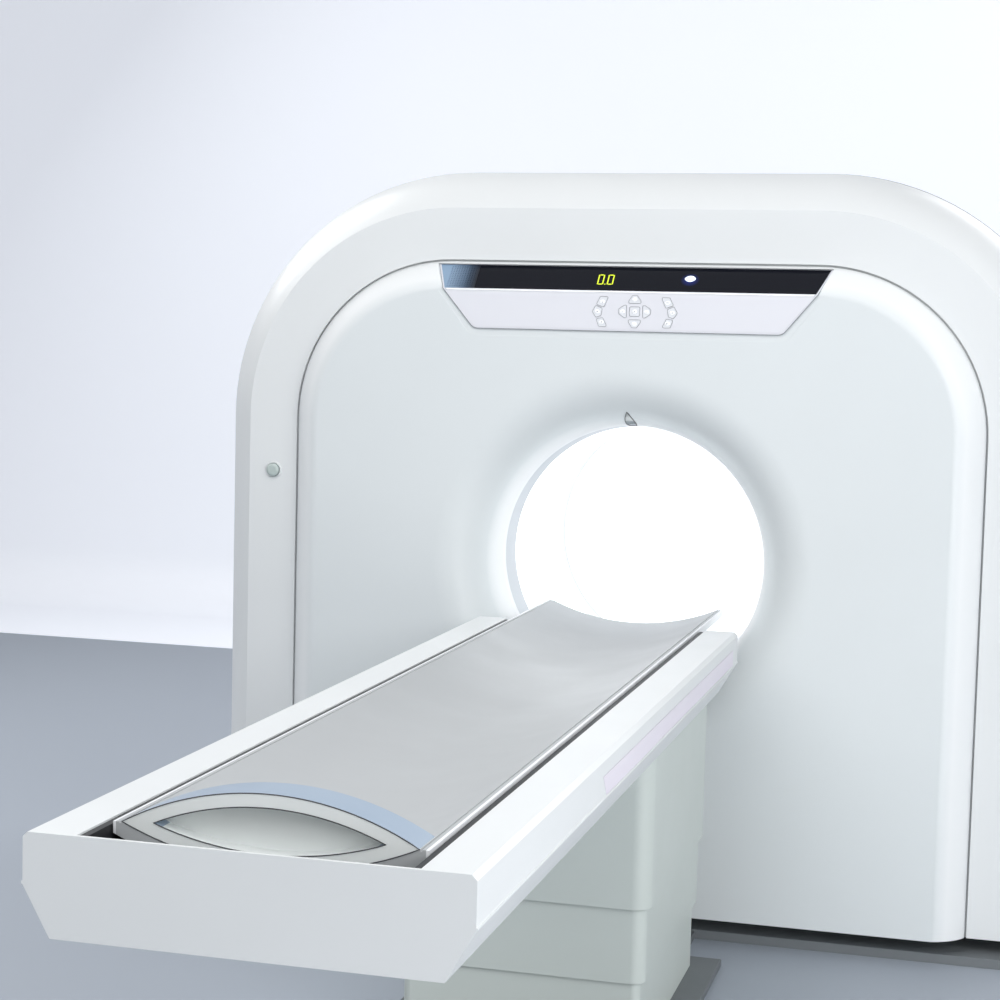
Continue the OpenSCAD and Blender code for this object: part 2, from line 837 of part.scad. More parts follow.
// Punched plate over the loudspeaker
module speaker_grille() color("lightsteelblue") {
    edge = 8;
    rows = floor((slope_l - 2 * glass_margin - 2 * edge) / dot_pitch);
    columns = floor((speaker_w - console_taper - 2 * edge) / dot_pitch);
    on_slope() difference() {
        along_y(0, glass_t) speaker_field();
        for (row = [0 : rows], column = [0 : columns])
            translate([speaker_x - edge - column * dot_pitch, 0, glass_margin + edge + row * dot_pitch])
                rod_y(dot_r, -1, glass_t + 1);
    }
}

// One digit 0 of six straight segments
module digit_zero() {
    half = digit_h / 2;
    arm = digit_w - 2 * stroke - 1;
    for (z = [-half, half - stroke]) translate([-arm / 2, z]) square([arm, stroke]);
    for (x = [-digit_w / 2, digit_w / 2 - stroke], z = [0.5 - half + 1, 0.5])
        translate([x, z]) square([stroke, half - 2]);
}

module display_symbols() color("yellowgreen") {
    mark_r = (pow(mark_half_w, 2) + pow(mark_half_h, 2)) / (2 * mark_half_h);
    on_slope() along_y(-0.6, 0) {
        translate([digit_x, slope_l / 2 + digit_z]) {
            for (x = [-digit_pitch / 2, digit_pitch / 2]) translate([x, 0]) digit_zero();
            translate([-stroke / 2, -digit_h / 2]) square(stroke);
        }
        translate([mark_x, slope_l / 2 + mark_z]) intersection() {
            translate([0, mark_half_h - mark_r]) circle(mark_r);
            translate([0, mark_r - mark_half_h]) circle(mark_r);
        }
    }
}

module keypad_outline(g) {
    intersection() {
        console_outline(g - keypad_edge);
        translate([-console_half_w, console_bottom]) square([2 * console_half_w, keypad_h - keypad_edge + g]);
    }
}

module arrow_key(turn, g) {
    rotate(turn) translate([0, key_pitch]) polygon(rounded_points(arrow_points, key_round, g));
}

module outer_key(points, place, g, mirrored) {
    mirror([mirrored ? 1 : 0, 0]) translate(place) polygon(rounded_points(points, key_round, g));
}

module key_shape(name, g) {
    translate([keypad_x, keypad_z]) {
        if (name == "up") arrow_key(0, g);
        if (name == "left") arrow_key(90, g);
        if (name == "down") arrow_key(180, g);
        if (name == "right") arrow_key(270, g);
        if (name == "centre") polygon(rounded_points(centre_points, key_round, g));
        if (name == "left_top") outer_key(top_points, top_place, g, false);
        if (name == "left_middle") outer_key(middle_points, middle_place, g, false);
        if (name == "left_bottom") outer_key(bottom_points, bottom_place, g, false);
        if (name == "right_top") outer_key(top_points, top_place, g, true);
        if (name == "right_middle") outer_key(middle_points, middle_place, g, true);
        if (name == "right_bottom") outer_key(bottom_points, bottom_place, g, true);
    }
}

module key(name) color("white") {
    along_y(console_y - key_proud, console_y - key_proud + key_len) key_shape(name, 0);
}

module keypad_plate() color("lavender") {
    along_y(console_y, console_y + keypad_t) difference() {
        keypad_outline(0);
        for (name = KEYS) key_shape(name, key_gap);
    }
}

// Upright column over the pointed oval of the positioning laser, at the top of the flare
module laser_column(g) {
    r = (pow(laser_l / 2, 2) + pow(laser_w / 2, 2)) / laser_w;
    translate([0, laser_y, iso_z + throat_r / 2]) linear_extrude(mouth_r - throat_r / 2) intersection() {
        translate([r - laser_w / 2, 0]) circle(r + g, $fn = 240);
        translate([laser_w / 2 - r, 0]) circle(r + g, $fn = 240);
    }
}

// Window let into the flare's upper side, a little proud of it
module laser_window() color("gray") intersection() {
    around_bore() translate([-laser_proud, 0]) flare_profile(-panel_raise, throat_d);
    laser_column(0);
}

module stop_button(x) color("darkseagreen") {
    translate([x, 0, stop_z]) {
        rod_y(stop_r, -10, 6);
        translate([0, -14, 0]) rotate([-90, 0, 0]) cylinder(r1 = stop_r - 5, r2 = stop_r, h = 4);
    }
}

// Floor plate under the table, reaching to the gantry's base
module table_base() color("dimgray") {
    head = -pedestal_y + pedestal_len / 2 + plate_edge;
    plate_half_w = pedestal_half_w + plate_edge;
    box([-plate_half_w, -pedestal_y - pedestal_len / 2 - 260, 0], [plate_half_w, head, floor_t]);
    box([-plate_half_w + 100, head, 0], [plate_half_w - 100, base_front, floor_t]);
}

module column_tubes(w, z0, z1, wall) {
    for (y = column_y) difference() {
        translate([-w / 2, -y - w / 2, z0]) cube([w, w, z1 - z0]);
        translate([-w / 2 + wall, -y - w / 2 + wall, z0 - 1]) cube([w - 2 * wall, w - 2 * wall, z1 - z0 + 2]);
    }
}

module columns_outer() color("gray") column_tubes(column_w, floor_t, lower_top - 5, column_wall);

module columns_middle() color("darkgray")
    column_tubes(middle_w, middle_bottom - 5, middle_top - hanger_t - 2, column_wall);

module columns_inner() color("silver") column_tubes(inner_w, upper_bottom + 5, tray_z, column_wall);

// A rounded rectangle in plan, centred on the pedestal
module plan_2d(half_w, half_l, r) {
    translate([0, -pedestal_y]) {
        square([2 * half_w, 2 * (half_l - r)], center = true);
        square([2 * (half_w - r), 2 * half_l], center = true);
        for (x = [-1, 1], y = [-1, 1]) translate([x * (half_w - r), y * (half_l - r)]) circle(r);
    }
}

module shroud(inset, z0, z1) {
    translate([0, 0, z0]) linear_extrude(z1 - z0) difference() {
        plan_2d(pedestal_half_w - inset, pedestal_len / 2 - inset, corner_round - inset);
        plan_2d(
            pedestal_half_w - inset - skin_t, pedestal_len / 2 - inset - skin_t, corner_round - inset - skin_t
        );
    }
}

module pedestal_cover_lower() color("lightgray") shroud(2 * shell_step, floor_t, lower_top);

// Middle cover, hung from the middle columns by a plate
module pedestal_cover_middle() color("lightgray") {
    hole_w = middle_w - 2 * column_wall;
    hanger_in = shell_step + 1;
    shroud(shell_step, middle_bottom, middle_top);
    difference() {
        translate([0, 0, middle_top - hanger_t - 2]) linear_extrude(hanger_t)
            plan_2d(pedestal_half_w - hanger_in, pedestal_len / 2 - hanger_in, corner_round - hanger_in);
        for (y = column_y)
            translate([-hole_w / 2, -y - hole_w / 2, middle_bottom]) cube([hole_w, hole_w, stage_h]);
    }
}

module pedestal_cover_upper() color("lightgray") shroud(0, upper_bottom, tray_z - skin_t);

// Welded frame of two long channels and cross members
module table_frame() color("slategray") {
    beam_x = rail_x - 25;
    for (side = [0, 1]) mirror([side, 0, 0]) along_y(-table_foot + frame_in, -table_head - frame_in)
        translate([beam_x, tray_z]) difference() {
            translate([-beam_w / 2, 0]) square([beam_w, frame_h]);
            translate([-beam_w / 2 - 1, beam_wall]) square([beam_w - beam_wall + 1, frame_h - 2 * beam_wall]);
        }
    for (y = cross_y)
        along_y(y, y + cross_w) translate([-beam_x, tray_z]) square([2 * beam_x, frame_h - 12]);
    for (y = column_y) translate([-beam_x, -y - column_w / 2, tray_z]) cube([2 * beam_x, column_w, 14]);
    roller_stand();
}

// Roller near the head end that carries the cradle, on two lugs
module roller_stand() {
    roller_z = rim_z - cradle_sag - cradle_t - seat - roller_r;
    translate([0, -roller_y, roller_z]) rotate([0, 90, 0])
        cylinder(r = roller_r, h = 2 * roller_half_l, center = true);
    for (x = [-1, 1]) translate([x * (roller_half_l + 4), -roller_y, 0]) difference() {
        box([-4, -14, tray_z + frame_h - 14], [4, 14, roller_z + 6]);
        translate([0, 0, roller_z]) rotate([0, 90, 0]) cylinder(r = 3, h = 20, center = true);
    }
}

// Half of the table cover's section: ledge, side face, sloped tray
module cover_section(inset) {
    t = inset;
    edge = 8;
    polygon([
        [0, tray_z - skin_t + t], [pedestal_half_w + 8 - t / 2, tray_z - skin_t + t],
        [table_half_w - t, side_z + t / 2],
        [table_half_w - t, ledge_z - edge - t / 4], [table_half_w - edge - t / 4, ledge_z - t],
        [0, ledge_z - t]
    ]);
}

module table_covers() color("whitesmoke") {
    for (side = [0, 1]) mirror([side, 0, 0]) {
        difference() {
            along_y(-table_foot, -table_head) difference() {
                cover_section(0);
                cover_section(skin_t);
                translate([-1, rail_z]) square([rail_x + rail_w + seat + 1, 400]);
            }
            along_x(table_half_w - stripe_t, table_half_w + 1) stripe_2d(seat);
            linear_extrude(tray_z + 1) plan_2d(
                pedestal_half_w - skin_t, pedestal_len / 2 - skin_t, corner_round - skin_t
            );
        }
        along_y(-table_foot, -table_head) polygon([
            [table_half_w - 1, side_z - 1], [table_half_w + lip_out, side_z + 1],
            [table_half_w + lip_out, side_z + lip_h], [table_half_w - 1, side_z + lip_h]
        ]);
        along_y(-table_foot, -table_foot + skin_t) cover_section(0);
        along_y(-table_head - skin_t, -table_head) difference() {
            cover_section(0);
            trough_2d(hollow_r + cradle_t + cradle_room);
        }
    }
}

// The stripe's outline on the side face, with a slanted foot end
module stripe_2d(g) {
    foot = -table_foot + stripe_foot - g;
    head = -table_foot + stripe_foot + stripe_len + g;
    polygon([
        [foot + stripe_slant, stripe_z - g], [head, stripe_z - g],
        [head, stripe_z + stripe_h + g], [foot, stripe_z + stripe_h + g]
    ]);
}

// Coloured stripe let into each side face
module side_stripes() color("thistle") {
    for (side = [0, 1]) mirror([side, 0, 0])
        along_x(table_half_w - stripe_t + 0.2, table_half_w + 0.2) stripe_2d(0);
}

// Black edge rails that guide the cradle's carriage
module cradle_rails() color("#282828") {
    for (side = [0, 1]) mirror([side, 0, 0]) along_y(-table_foot + rail_in, -table_head - rail_in) {
        translate([rail_x, rail_z]) square([rail_w, rim_z - 5 - rail_z]);
        translate([rail_x + rail_w - rail_flange, rail_z]) square([rail_flange, rail_t]);
    }
}

module cradle_motor() color("darkslateblue") {
    translate([0, (cross_y[2] + cross_y[3] + cross_w) / 2, tray_z]) {
        box([-60, -80, 0], [60, 80, 10]);
        translate([0, 0, 32]) rotate([0, 90, 0]) cylinder(r = 22, h = 140, center = true);
        box([-60, -15, 9], [60, 15, 30]);
    }
}

// Section of the cradle: a shallow trough with flat rims
module trough_2d(r) {
    translate([0, hollow_z]) circle(r, $fn = 240);
}

module cradle() color("lightgray") {
    along_y(-cradle_foot, cradle_tip) difference() {
        intersection() {
            trough_2d(hollow_r + cradle_t);
            translate([-cradle_half_w, rim_z - 400]) square([2 * cradle_half_w, 400]);
        }
        trough_2d(hollow_r);
        for (x = [-hollow_half_w - 1 - groove_w, hollow_half_w + 1])
            translate([x, rim_z - groove_deep]) square([groove_w, groove_deep + 1]);
    }
}

module cradle_carriage() color("silver") {
    box(
        [-cradle_half_w + 1, -carriage_foot, carriage_z],
        [cradle_half_w - 1, -carriage_foot + carriage_len, carriage_z + carriage_t]
    );
    for (i = [0 : 2])
        translate([0, i * (carriage_len - 80) / 2, 0])
            along_y(-carriage_foot, -carriage_foot + 80) difference() {
                translate([-150, carriage_z]) square([300, 150]);
                trough_2d(hollow_r + cradle_t);
                translate([-200, rim_z - 40]) square([400, 100]);
            }
}

// Arched board that closes the cradle's foot end, with a finger recess
module arch_board_2d(g) {
    r = (pow(hollow_half_w, 2) + pow(foot_rise, 2)) / (2 * foot_rise);
    intersection() {
        trough_2d(hollow_r - g);
        translate([0, rim_z + foot_rise - r]) circle(r - g, $fn = 240);
    }
}

module foot_board() color("lightsteelblue") {
    difference() {
        along_y(-cradle_foot, -cradle_foot + foot_t) arch_board_2d(0);
        along_y(-cradle_foot - 1, -cradle_foot + recess_deep) arch_board_2d(board_wall);
    }
}

gantry_base();
stator_frame();
bearing_outer_ring();
bearing_inner_ring();
bearing_balls();
rotor_disc();
rotor_bolts();
xray_tube();
collimator();
detector_housing();
generator_box();
acquisition_box();
counterweight();
slip_ring();
brush_block();
drive_motor();
motor_pulley();
drive_belt();
front_cover();
front_panel();
panel_seal();
bore_rings();
bore_liner();
rear_cover();
side_covers();
top_cover();
console_housing();
display_glass();
display_symbols();
speaker_grille();
keypad_plate();
key("up");  // key_up
key("down");  // key_down
key("left");  // key_left
key("right");  // key_right
key("centre");  // key_centre
key("left_top");  // key_left_top
key("left_middle");  // key_left_middle
key("left_bottom");  // key_left_bottom
key("right_top");  // key_right_top
key("right_middle");  // key_right_middle
key("right_bottom");  // key_right_bottom
laser_window();
stop_button(-stop_x);  // stop_button_left
stop_button(stop_x);  // stop_button_right
table_base();
columns_outer();
columns_middle();
columns_inner();
pedestal_cover_lower();
pedestal_cover_middle();
pedestal_cover_upper();
table_frame();
table_covers();
side_stripes();
cradle_rails();
cradle_motor();
cradle_carriage();
cradle();
foot_board();
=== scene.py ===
# %% [markdown]
# # A CT scanner
# The scanner is a ring of moulded covers round a bore, and a table whose cradle slides into it.
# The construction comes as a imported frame, where each piece is one object. This lesson dresses
# it: it sets up the picture, gives every piece its finish and models what is too fine for the
# frame, such as key symbols, seams, bolts and printed lines.

# %% Load the frame
import json
import math

import bpy
from mathutils import Matrix, Vector

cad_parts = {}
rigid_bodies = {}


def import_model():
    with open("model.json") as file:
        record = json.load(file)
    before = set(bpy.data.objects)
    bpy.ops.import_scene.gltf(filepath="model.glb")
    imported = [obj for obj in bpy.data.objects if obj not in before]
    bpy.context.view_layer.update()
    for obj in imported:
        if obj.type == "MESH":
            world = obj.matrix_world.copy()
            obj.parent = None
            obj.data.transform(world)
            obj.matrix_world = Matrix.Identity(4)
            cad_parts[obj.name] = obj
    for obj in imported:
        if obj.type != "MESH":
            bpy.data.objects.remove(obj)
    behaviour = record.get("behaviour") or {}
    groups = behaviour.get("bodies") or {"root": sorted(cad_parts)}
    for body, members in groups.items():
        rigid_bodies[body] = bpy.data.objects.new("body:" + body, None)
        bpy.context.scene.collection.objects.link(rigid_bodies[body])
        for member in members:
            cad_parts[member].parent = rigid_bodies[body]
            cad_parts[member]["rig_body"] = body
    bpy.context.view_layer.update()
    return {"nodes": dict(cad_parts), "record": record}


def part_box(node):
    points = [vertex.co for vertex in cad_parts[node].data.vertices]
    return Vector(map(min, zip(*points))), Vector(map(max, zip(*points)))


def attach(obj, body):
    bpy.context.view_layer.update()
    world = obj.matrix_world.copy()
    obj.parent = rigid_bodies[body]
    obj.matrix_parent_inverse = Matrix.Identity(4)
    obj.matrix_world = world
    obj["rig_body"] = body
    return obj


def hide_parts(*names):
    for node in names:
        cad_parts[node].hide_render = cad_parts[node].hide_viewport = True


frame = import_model()
nodes = frame["nodes"]
print("pieces in the frame:", len(nodes))

# %% [markdown]
# ## Places
# Most places below are read from the frame, so that a piece stays on what carries it when the
# construction changes. They could be typed in, but would then be wrong after the next change.
# Only where the frame holds no piece to read from, as at the anchor bolts, a named number stands
# in. The panel's flat face, the bore's axis and the table's rims come first.

# %% Places
LOW, HIGH = 0, 1
panel_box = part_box("front_panel")
liner_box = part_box("bore_liner")
cradle_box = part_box("cradle")
front_y = panel_box[LOW].y
iso_z = (liner_box[LOW].z + liner_box[HIGH].z) / 2
rim_z = cradle_box[HIGH].z
print(f"bore axis at {iso_z:.3f} m, cradle rims at {rim_z:.3f} m")

# %% [markdown]
# ## The room
# A studio floor that curves up into a backdrop has no corner to distract from the object. It
# could be a curve swept sideways. Here it starts as a plane, whose back edge is pulled up, and a
# bevel rounds the fold, because that leaves few faces. The helpers for it come first.

# %% Helpers for modelling by hand
def deselect():
    """Nothing selected and nothing active in object mode."""
    if bpy.context.object and bpy.context.object.mode != "OBJECT":
        bpy.ops.object.mode_set(mode="OBJECT")
    bpy.ops.object.select_all(action="DESELECT")


def only(obj):
    """Only obj selected, and active."""
    deselect()
    obj.select_set(True)
    bpy.context.view_layer.objects.active = obj
    return obj


def named(name):
    """The primitive that was just added, under its name, with its place put in its mesh."""
    obj = bpy.context.object
    obj.name = obj.data.name = name
    bpy.ops.object.transform_apply(location=True, rotation=True, scale=True)
    return obj


def apply_modifier(obj, kind, **values):
    """Adds a modifier with these values and applies it."""
    only(obj)
    modifier = obj.modifiers.new(kind.lower(), kind)
    for key, value in values.items():
        setattr(modifier, key, value)
    bpy.ops.object.modifier_apply(modifier=modifier.name)
    return obj


# %% The floor and the backdrop
FLOOR_HALF = 14.0
WALL_Y = 5.0
WALL_H = 9.0
FOLD_R = 0.3

deselect()
bpy.ops.mesh.primitive_plane_add(size=2, location=(0, WALL_Y - FLOOR_HALF, 0))
bpy.context.object.scale = (FLOOR_HALF, FLOOR_HALF, 1)
backdrop = named("studio_backdrop")
bpy.ops.object.mode_set(mode="EDIT")
bpy.ops.mesh.select_all(action="DESELECT")
bpy.ops.object.mode_set(mode="OBJECT")
for edge in backdrop.data.edges:
    edge.select = all(backdrop.data.vertices[i].co.y > WALL_Y - 0.01 for i in edge.vertices)
bpy.ops.object.mode_set(mode="EDIT")
bpy.ops.mesh.extrude_edges_move(TRANSFORM_OT_translate={"value": (0, 0, WALL_H)})
bpy.ops.object.mode_set(mode="OBJECT")
apply_modifier(backdrop, "BEVEL", width=FOLD_R, segments=12, limit_method="ANGLE", affect="EDGES")
bpy.ops.object.shade_smooth()
print("backdrop faces:", len(backdrop.data.polygons))

# %% [markdown]
# ## The camera
# The photograph was taken from the right of the table, a little below the display's height,
# with a lens twice as long as its frame is wide. A constraint could aim the camera at a point,
# but a hand-held photograph also has a roll, so yaw, pitch and roll turn the camera's own axes.

# %% The camera
EYE = Vector((1.011, -5.007, 1.524))
YAW, PITCH, ROLL = (math.radians(a) for a in (15.0, 4.71, -1.43))
LENS_MM, SENSOR_MM = 72.0, 36.0

ahead = Vector((-math.sin(YAW) * math.cos(PITCH), math.cos(YAW) * math.cos(PITCH), -math.sin(PITCH)))
right = Vector((math.cos(YAW), math.sin(YAW), 0))
up = right.cross(ahead)
rolled_right = math.cos(ROLL) * right - math.sin(ROLL) * up
rolled_up = math.sin(ROLL) * right + math.cos(ROLL) * up
camera = bpy.data.objects.new("camera", bpy.data.cameras.new("camera"))
camera.data.lens, camera.data.sensor_width = LENS_MM, SENSOR_MM
camera.data.clip_end = 60
axes = Matrix((rolled_right, rolled_up, -ahead)).transposed()
camera.matrix_world = Matrix.Translation(EYE) @ axes.to_4x4()
bpy.context.scene.collection.objects.link(camera)
bpy.context.scene.camera = camera
print("camera height:", EYE.z)

# %% [markdown]
# ## The light
# The room is bright and soft. Two large lamps stand in front, the right one nearly twice as
# strong. One hangs over the table, one at the left and above whitens the shoulder of the covers,
# one is behind, a low one lights the table's side, and the world is pale. They are area lamps,
# whose size sets how soft a shadow is, where spot lamps would leave hard edges. None hangs
# straight above the display, whose sloped glass would mirror it.

# %% The light
NEUTRAL, COOL = (1, 1, 1), (0.98, 0.99, 1.0)
WORLD_COLOUR = (0.93, 0.945, 0.97, 1)
WORLD_STRENGTH = 0.45
LAMPS = {
    "key_lamp": ((-2.4, -4.9, 4.4), (0, -0.4, 1.0), 3.2, 76, NEUTRAL),
    "fill_lamp": ((4.2, -4.2, 3.0), (0, -0.6, 0.9), 3.0, 140, COOL),
    "table_lamp": ((-0.4, -2.7, 4.4), (0, -1.2, 0.8), 1.8, 43, NEUTRAL),
    "shoulder_lamp": ((-4.0, 1.4, 4.2), (-0.6, 0.3, 1.4), 2.4, 120, NEUTRAL),
    "rear_lamp": ((2.6, 4.2, 3.8), (0, 0.4, 1.0), 2.6, 80, NEUTRAL),
    "side_lamp": ((2.8, -3.4, 0.25), (0.3, -1.2, 0.7), 1.2, 40, NEUTRAL),
}


def area_lamp(name, place, target, size, power, colour):
    """A soft lamp at a place, facing its target."""
    lamp = bpy.data.objects.new(name, bpy.data.lights.new(name, "AREA"))
    lamp.data.size, lamp.data.energy, lamp.data.color = size, power, colour
    lamp.location = place
    lamp.rotation_euler = (Vector(target) - Vector(place)).to_track_quat("-Z", "Y").to_euler()
    bpy.context.scene.collection.objects.link(lamp)


for name, settings in LAMPS.items():
    area_lamp(name, *settings)
world = bpy.data.worlds.new("studio")
world.use_nodes = True
background = world.node_tree.nodes["Background"]
background.inputs["Color"].default_value = WORLD_COLOUR
background.inputs["Strength"].default_value = WORLD_STRENGTH
bpy.context.scene.world = world
bpy.context.scene.view_settings.view_transform = "Standard"
print("lamps:", len(LAMPS))

# %% [markdown]
# ## Finishes
# Nearly all of the scanner is painted or moulded. What tells one finish from another at this
# size is its gloss, a fine grain in the surface and a very slight change of tone over a metre
# or so. A picture of paint would have to be unwrapped on each piece. Noise in the piece's own
# metres needs no unwrapping and has one scale everywhere, so one function makes such a finish
# from those few numbers.

# %% Materials and their nodes
COAT_ROUGHNESS = 0.08


def surface(name, colour, roughness, metallic=0.0, coat=0.0, specular=0.5):
    """A material whose constants are set on the shader itself."""
    material = bpy.data.materials.new(name)
    material.use_nodes = True
    shader = material.node_tree.nodes["Principled BSDF"]
    shader.inputs["Base Color"].default_value = (*colour, 1)
    shader.inputs["Roughness"].default_value = roughness
    shader.inputs["Metallic"].default_value = metallic
    shader.inputs["Coat Weight"].default_value = coat
    shader.inputs["Coat Roughness"].default_value = COAT_ROUGHNESS
    shader.inputs["Specular IOR Level"].default_value = specular
    return material


def parts_of(material):
    """The node tree, the shader and a function that links two sockets."""
    tree = material.node_tree
    return tree, tree.nodes["Principled BSDF"], tree.links.new


# %% A painted or moulded finish
NOISE_LOW, NOISE_HIGH = 0.3, 0.7


def object_noise(material, scale, detail=2.0, stretch=(1, 1, 1)):
    """A noise in the piece's own metres, stretched along its axes."""
    tree, _, link = parts_of(material)
    place = tree.nodes.new("ShaderNodeTexCoord")
    mapping = tree.nodes.new("ShaderNodeMapping")
    mapping.inputs["Scale"].default_value = stretch
    noise = tree.nodes.new("ShaderNodeTexNoise")
    noise.inputs["Scale"].default_value = scale
    noise.inputs["Detail"].default_value = detail
    link(place.outputs["Object"], mapping.inputs["Vector"])
    link(mapping.outputs["Vector"], noise.inputs["Vector"])
    return noise.outputs["Fac"]


def add_tone(material, amount, scale=1.6, stretch=(1, 1, 1), detail=2.0):
    """Lets the colour drift between a little darker and a little lighter."""
    tree, shader, link = parts_of(material)
    colour = shader.inputs["Base Color"].default_value[:3]
    ramp = tree.nodes.new("ShaderNodeValToRGB")
    dark, light = ramp.color_ramp.elements
    dark.position, light.position = NOISE_LOW, NOISE_HIGH
    dark.color = (*[c * (1 - amount) for c in colour], 1)
    light.color = (*[min(1, c * (1 + amount)) for c in colour], 1)
    link(object_noise(material, scale, detail, stretch), ramp.inputs["Fac"])
    link(ramp.outputs["Color"], shader.inputs["Base Color"])


def add_grain(material, size, height, stretch=(1, 1, 1), strength=0.5):
    """A fine grain in the surface: its size and its height in metres."""
    tree, shader, link = parts_of(material)
    bump = tree.nodes.new("ShaderNodeBump")
    bump.inputs["Distance"].default_value = height
    bump.inputs["Strength"].default_value = strength
    link(object_noise(material, 1 / size, 1.0, stretch), bump.inputs["Height"])
    link(bump.outputs["Normal"], shader.inputs["Normal"])


def step_between(material, where, start, end, low=0.0, high=1.0):
    """A value that goes from low to high while another goes from start to end."""
    tree, _, link = parts_of(material)
    step = tree.nodes.new("ShaderNodeMapRange")
    for name, value in {"From Min": start, "From Max": end, "To Min": low, "To Max": high}.items():
        step.inputs[name].default_value = value
    link(where, step.inputs["Value"])
    return step.outputs["Result"]


def add_gloss_drift(material, low, high, scale=6.0):
    """Lets the roughness drift, as on a wiped surface."""
    _, shader, link = parts_of(material)
    drift = step_between(material, object_noise(material, scale, 3.0), NOISE_LOW, NOISE_HIGH, low, high)
    link(drift, shader.inputs["Roughness"])


def moulding(name, colour, low=0.32, high=0.42, tone=0.012, grain=0.0016):
    """A painted moulding: soft gloss, orange peel and a faint drift of tone."""
    material = surface(name, colour, (low + high) / 2)
    add_tone(material, tone)
    add_gloss_drift(material, low, high)
    add_grain(material, grain, 0.00004)
    return material


# %% [markdown]
# ## The colours of the scanner
# The front frame is a plain white, the raised panel a cooler light grey, and its keypad has a
# hint of lilac. The pedestal leans to green. Each row gives a colour and, where they differ
# from the usual, the lowest and highest roughness, the drift of tone and the size of the grain.
# A table rather than a call for each shows how the finishes differ.

# %% Finishes of the covers
COVER_FINISHES = {
    "cover_white": ((0.76, 0.78, 0.785),),
    "panel_grey": ((0.72, 0.757, 0.767), 0.36, 0.46),
    "ring_grey": ((0.62, 0.645, 0.67), 0.28, 0.36),
    "console_shell": ((0.74, 0.75, 0.80), 0.30, 0.38),
    "keypad_film": ((0.77, 0.775, 0.82), 0.40, 0.48, 0.008, 0.0007),
    "key_grey": ((0.77, 0.785, 0.82), 0.34, 0.42, 0.006, 0.0007),
    "button_grey": ((0.48, 0.55, 0.53), 0.30, 0.40, 0.02, 0.0008),
    "pedestal_grey": ((0.58, 0.63, 0.60), 0.42, 0.52),
    "stripe_lilac": ((0.79, 0.745, 0.825), 0.34, 0.42, 0.02),
    "board_blue": ((0.32, 0.40, 0.50), 0.30, 0.34, 0.02, 0.0009),
    "board_grey": ((0.82, 0.85, 0.84), 0.34, 0.44, 0.012, 0.0011),
    "cradle_grey": ((0.445, 0.46, 0.47), 0.36, 0.46, 0.02, 0.0011),
}
finish = {name: moulding(name, *values) for name, values in COVER_FINISHES.items()}
print("cover finishes:", len(finish))

# %% [markdown]
# ## Colours that change along a line
# Some mouldings change colour along a clean line, such as the cradle, whose grey hollow ends
# at its white edge. A second material on some faces would need an edge of the mesh along the
# line. So their colour is picked by a coordinate of the piece itself, which also keeps the line
# on the piece when it slides.

# %% A second colour along a line
def math_node(material, operation, first, second=None):
    """One value worked out from a socket and a second socket or number."""
    tree, _, link = parts_of(material)
    node = tree.nodes.new("ShaderNodeMath")
    node.operation = operation
    link(first, node.inputs[0])
    if isinstance(second, bpy.types.NodeSocket):
        link(second, node.inputs[1])
    elif second is not None:
        node.inputs[1].default_value = second
    return node.outputs["Value"]


def place_on(material, axis, mirrored=False):
    """The piece's own coordinate along one axis, or its distance from the middle plane."""
    tree, _, link = parts_of(material)
    place = tree.nodes.new("ShaderNodeTexCoord")
    split = tree.nodes.new("ShaderNodeSeparateXYZ")
    link(place.outputs["Object"], split.inputs["Vector"])
    along = split.outputs[axis]
    return math_node(material, "ABSOLUTE", along) if mirrored else along


def add_second_colour(material, where, start, end, colour):
    """Blends to another colour while a value goes from start to end."""
    tree, shader, link = parts_of(material)
    blend = tree.nodes.new("ShaderNodeMix")
    blend.data_type = "RGBA"
    blend.inputs["B"].default_value = (*colour, 1)
    base = shader.inputs["Base Color"]
    if base.is_linked:
        link(base.links[0].from_socket, blend.inputs["A"])
    else:
        blend.inputs["A"].default_value = base.default_value
    link(step_between(material, where, start, end), blend.inputs["Factor"])
    link(blend.outputs["Result"], base)


# %% The cradle's white edge
RIM_W, RIM_FADE = 0.005, 0.0004
RIM_WHITE = (0.84, 0.85, 0.87)
rim_start = cradle_box[HIGH].x - RIM_W
cradle_finish = finish["cradle_grey"]
off_middle = place_on(cradle_finish, "X", True)
add_second_colour(cradle_finish, off_middle, rim_start, rim_start + RIM_FADE, RIM_WHITE)
print(f"white edge from {rim_start:.4f} m")

# %% [markdown]
# ## The glowing liner
# The liner is a white translucent tube with lamps behind it. Real lamps behind a clear tube
# would render slowly and with noise, so the surface itself gives off light.

# %% The glowing liner
LINER_WHITE = (0.93, 0.95, 0.96)
LINER_LIGHT = 0.7


def glowing(name, colour, light):
    """A surface that is lit from within."""
    material = surface(name, colour, 0.45)
    _, shader, _ = parts_of(material)
    shader.inputs["Emission Color"].default_value = (*colour, 1)
    shader.inputs["Emission Strength"].default_value = light
    return material


finish["liner_white"] = glowing("liner_white", LINER_WHITE, LINER_LIGHT)
add_grain(finish["liner_white"], 0.002, 0.00003)
print("light of the liner:", LINER_LIGHT)

# %% [markdown]
# ## The panel's border and the trim rings
# The trim ring between the flare and the liner starts as a white lip and goes on grey, and
# its twin at the rear is white. The panel's sloped border is painted lighter than its flat face,
# a painted highlight of the light that falls on it. The last part of the flare is painted white,
# a painted glow of the liner's light. Separate pieces of mesh would do, but a depth and a
# distance from the bore's axis describe all of it.

# %% The panel's painted highlight on its border and painted glow in the throat
RING_PROUD = 0.008
BORDER_START_R, BORDER_FULL_R = 0.52, 0.53
BORDER_START_DEPTH, BORDER_FULL_DEPTH = 0.0005, 0.016
# The border's lighter grey is a painted highlight, not a colour of the moulding.
BORDER_PAINTED_LIGHT = (0.845, 0.865, 0.87)
# The throat's white is a painted glow of the liner's light.
THROAT_PAINTED_GLOW = (0.90, 0.91, 0.91)
THROAT_START, THROAT_FULL = 0.022, 0.003


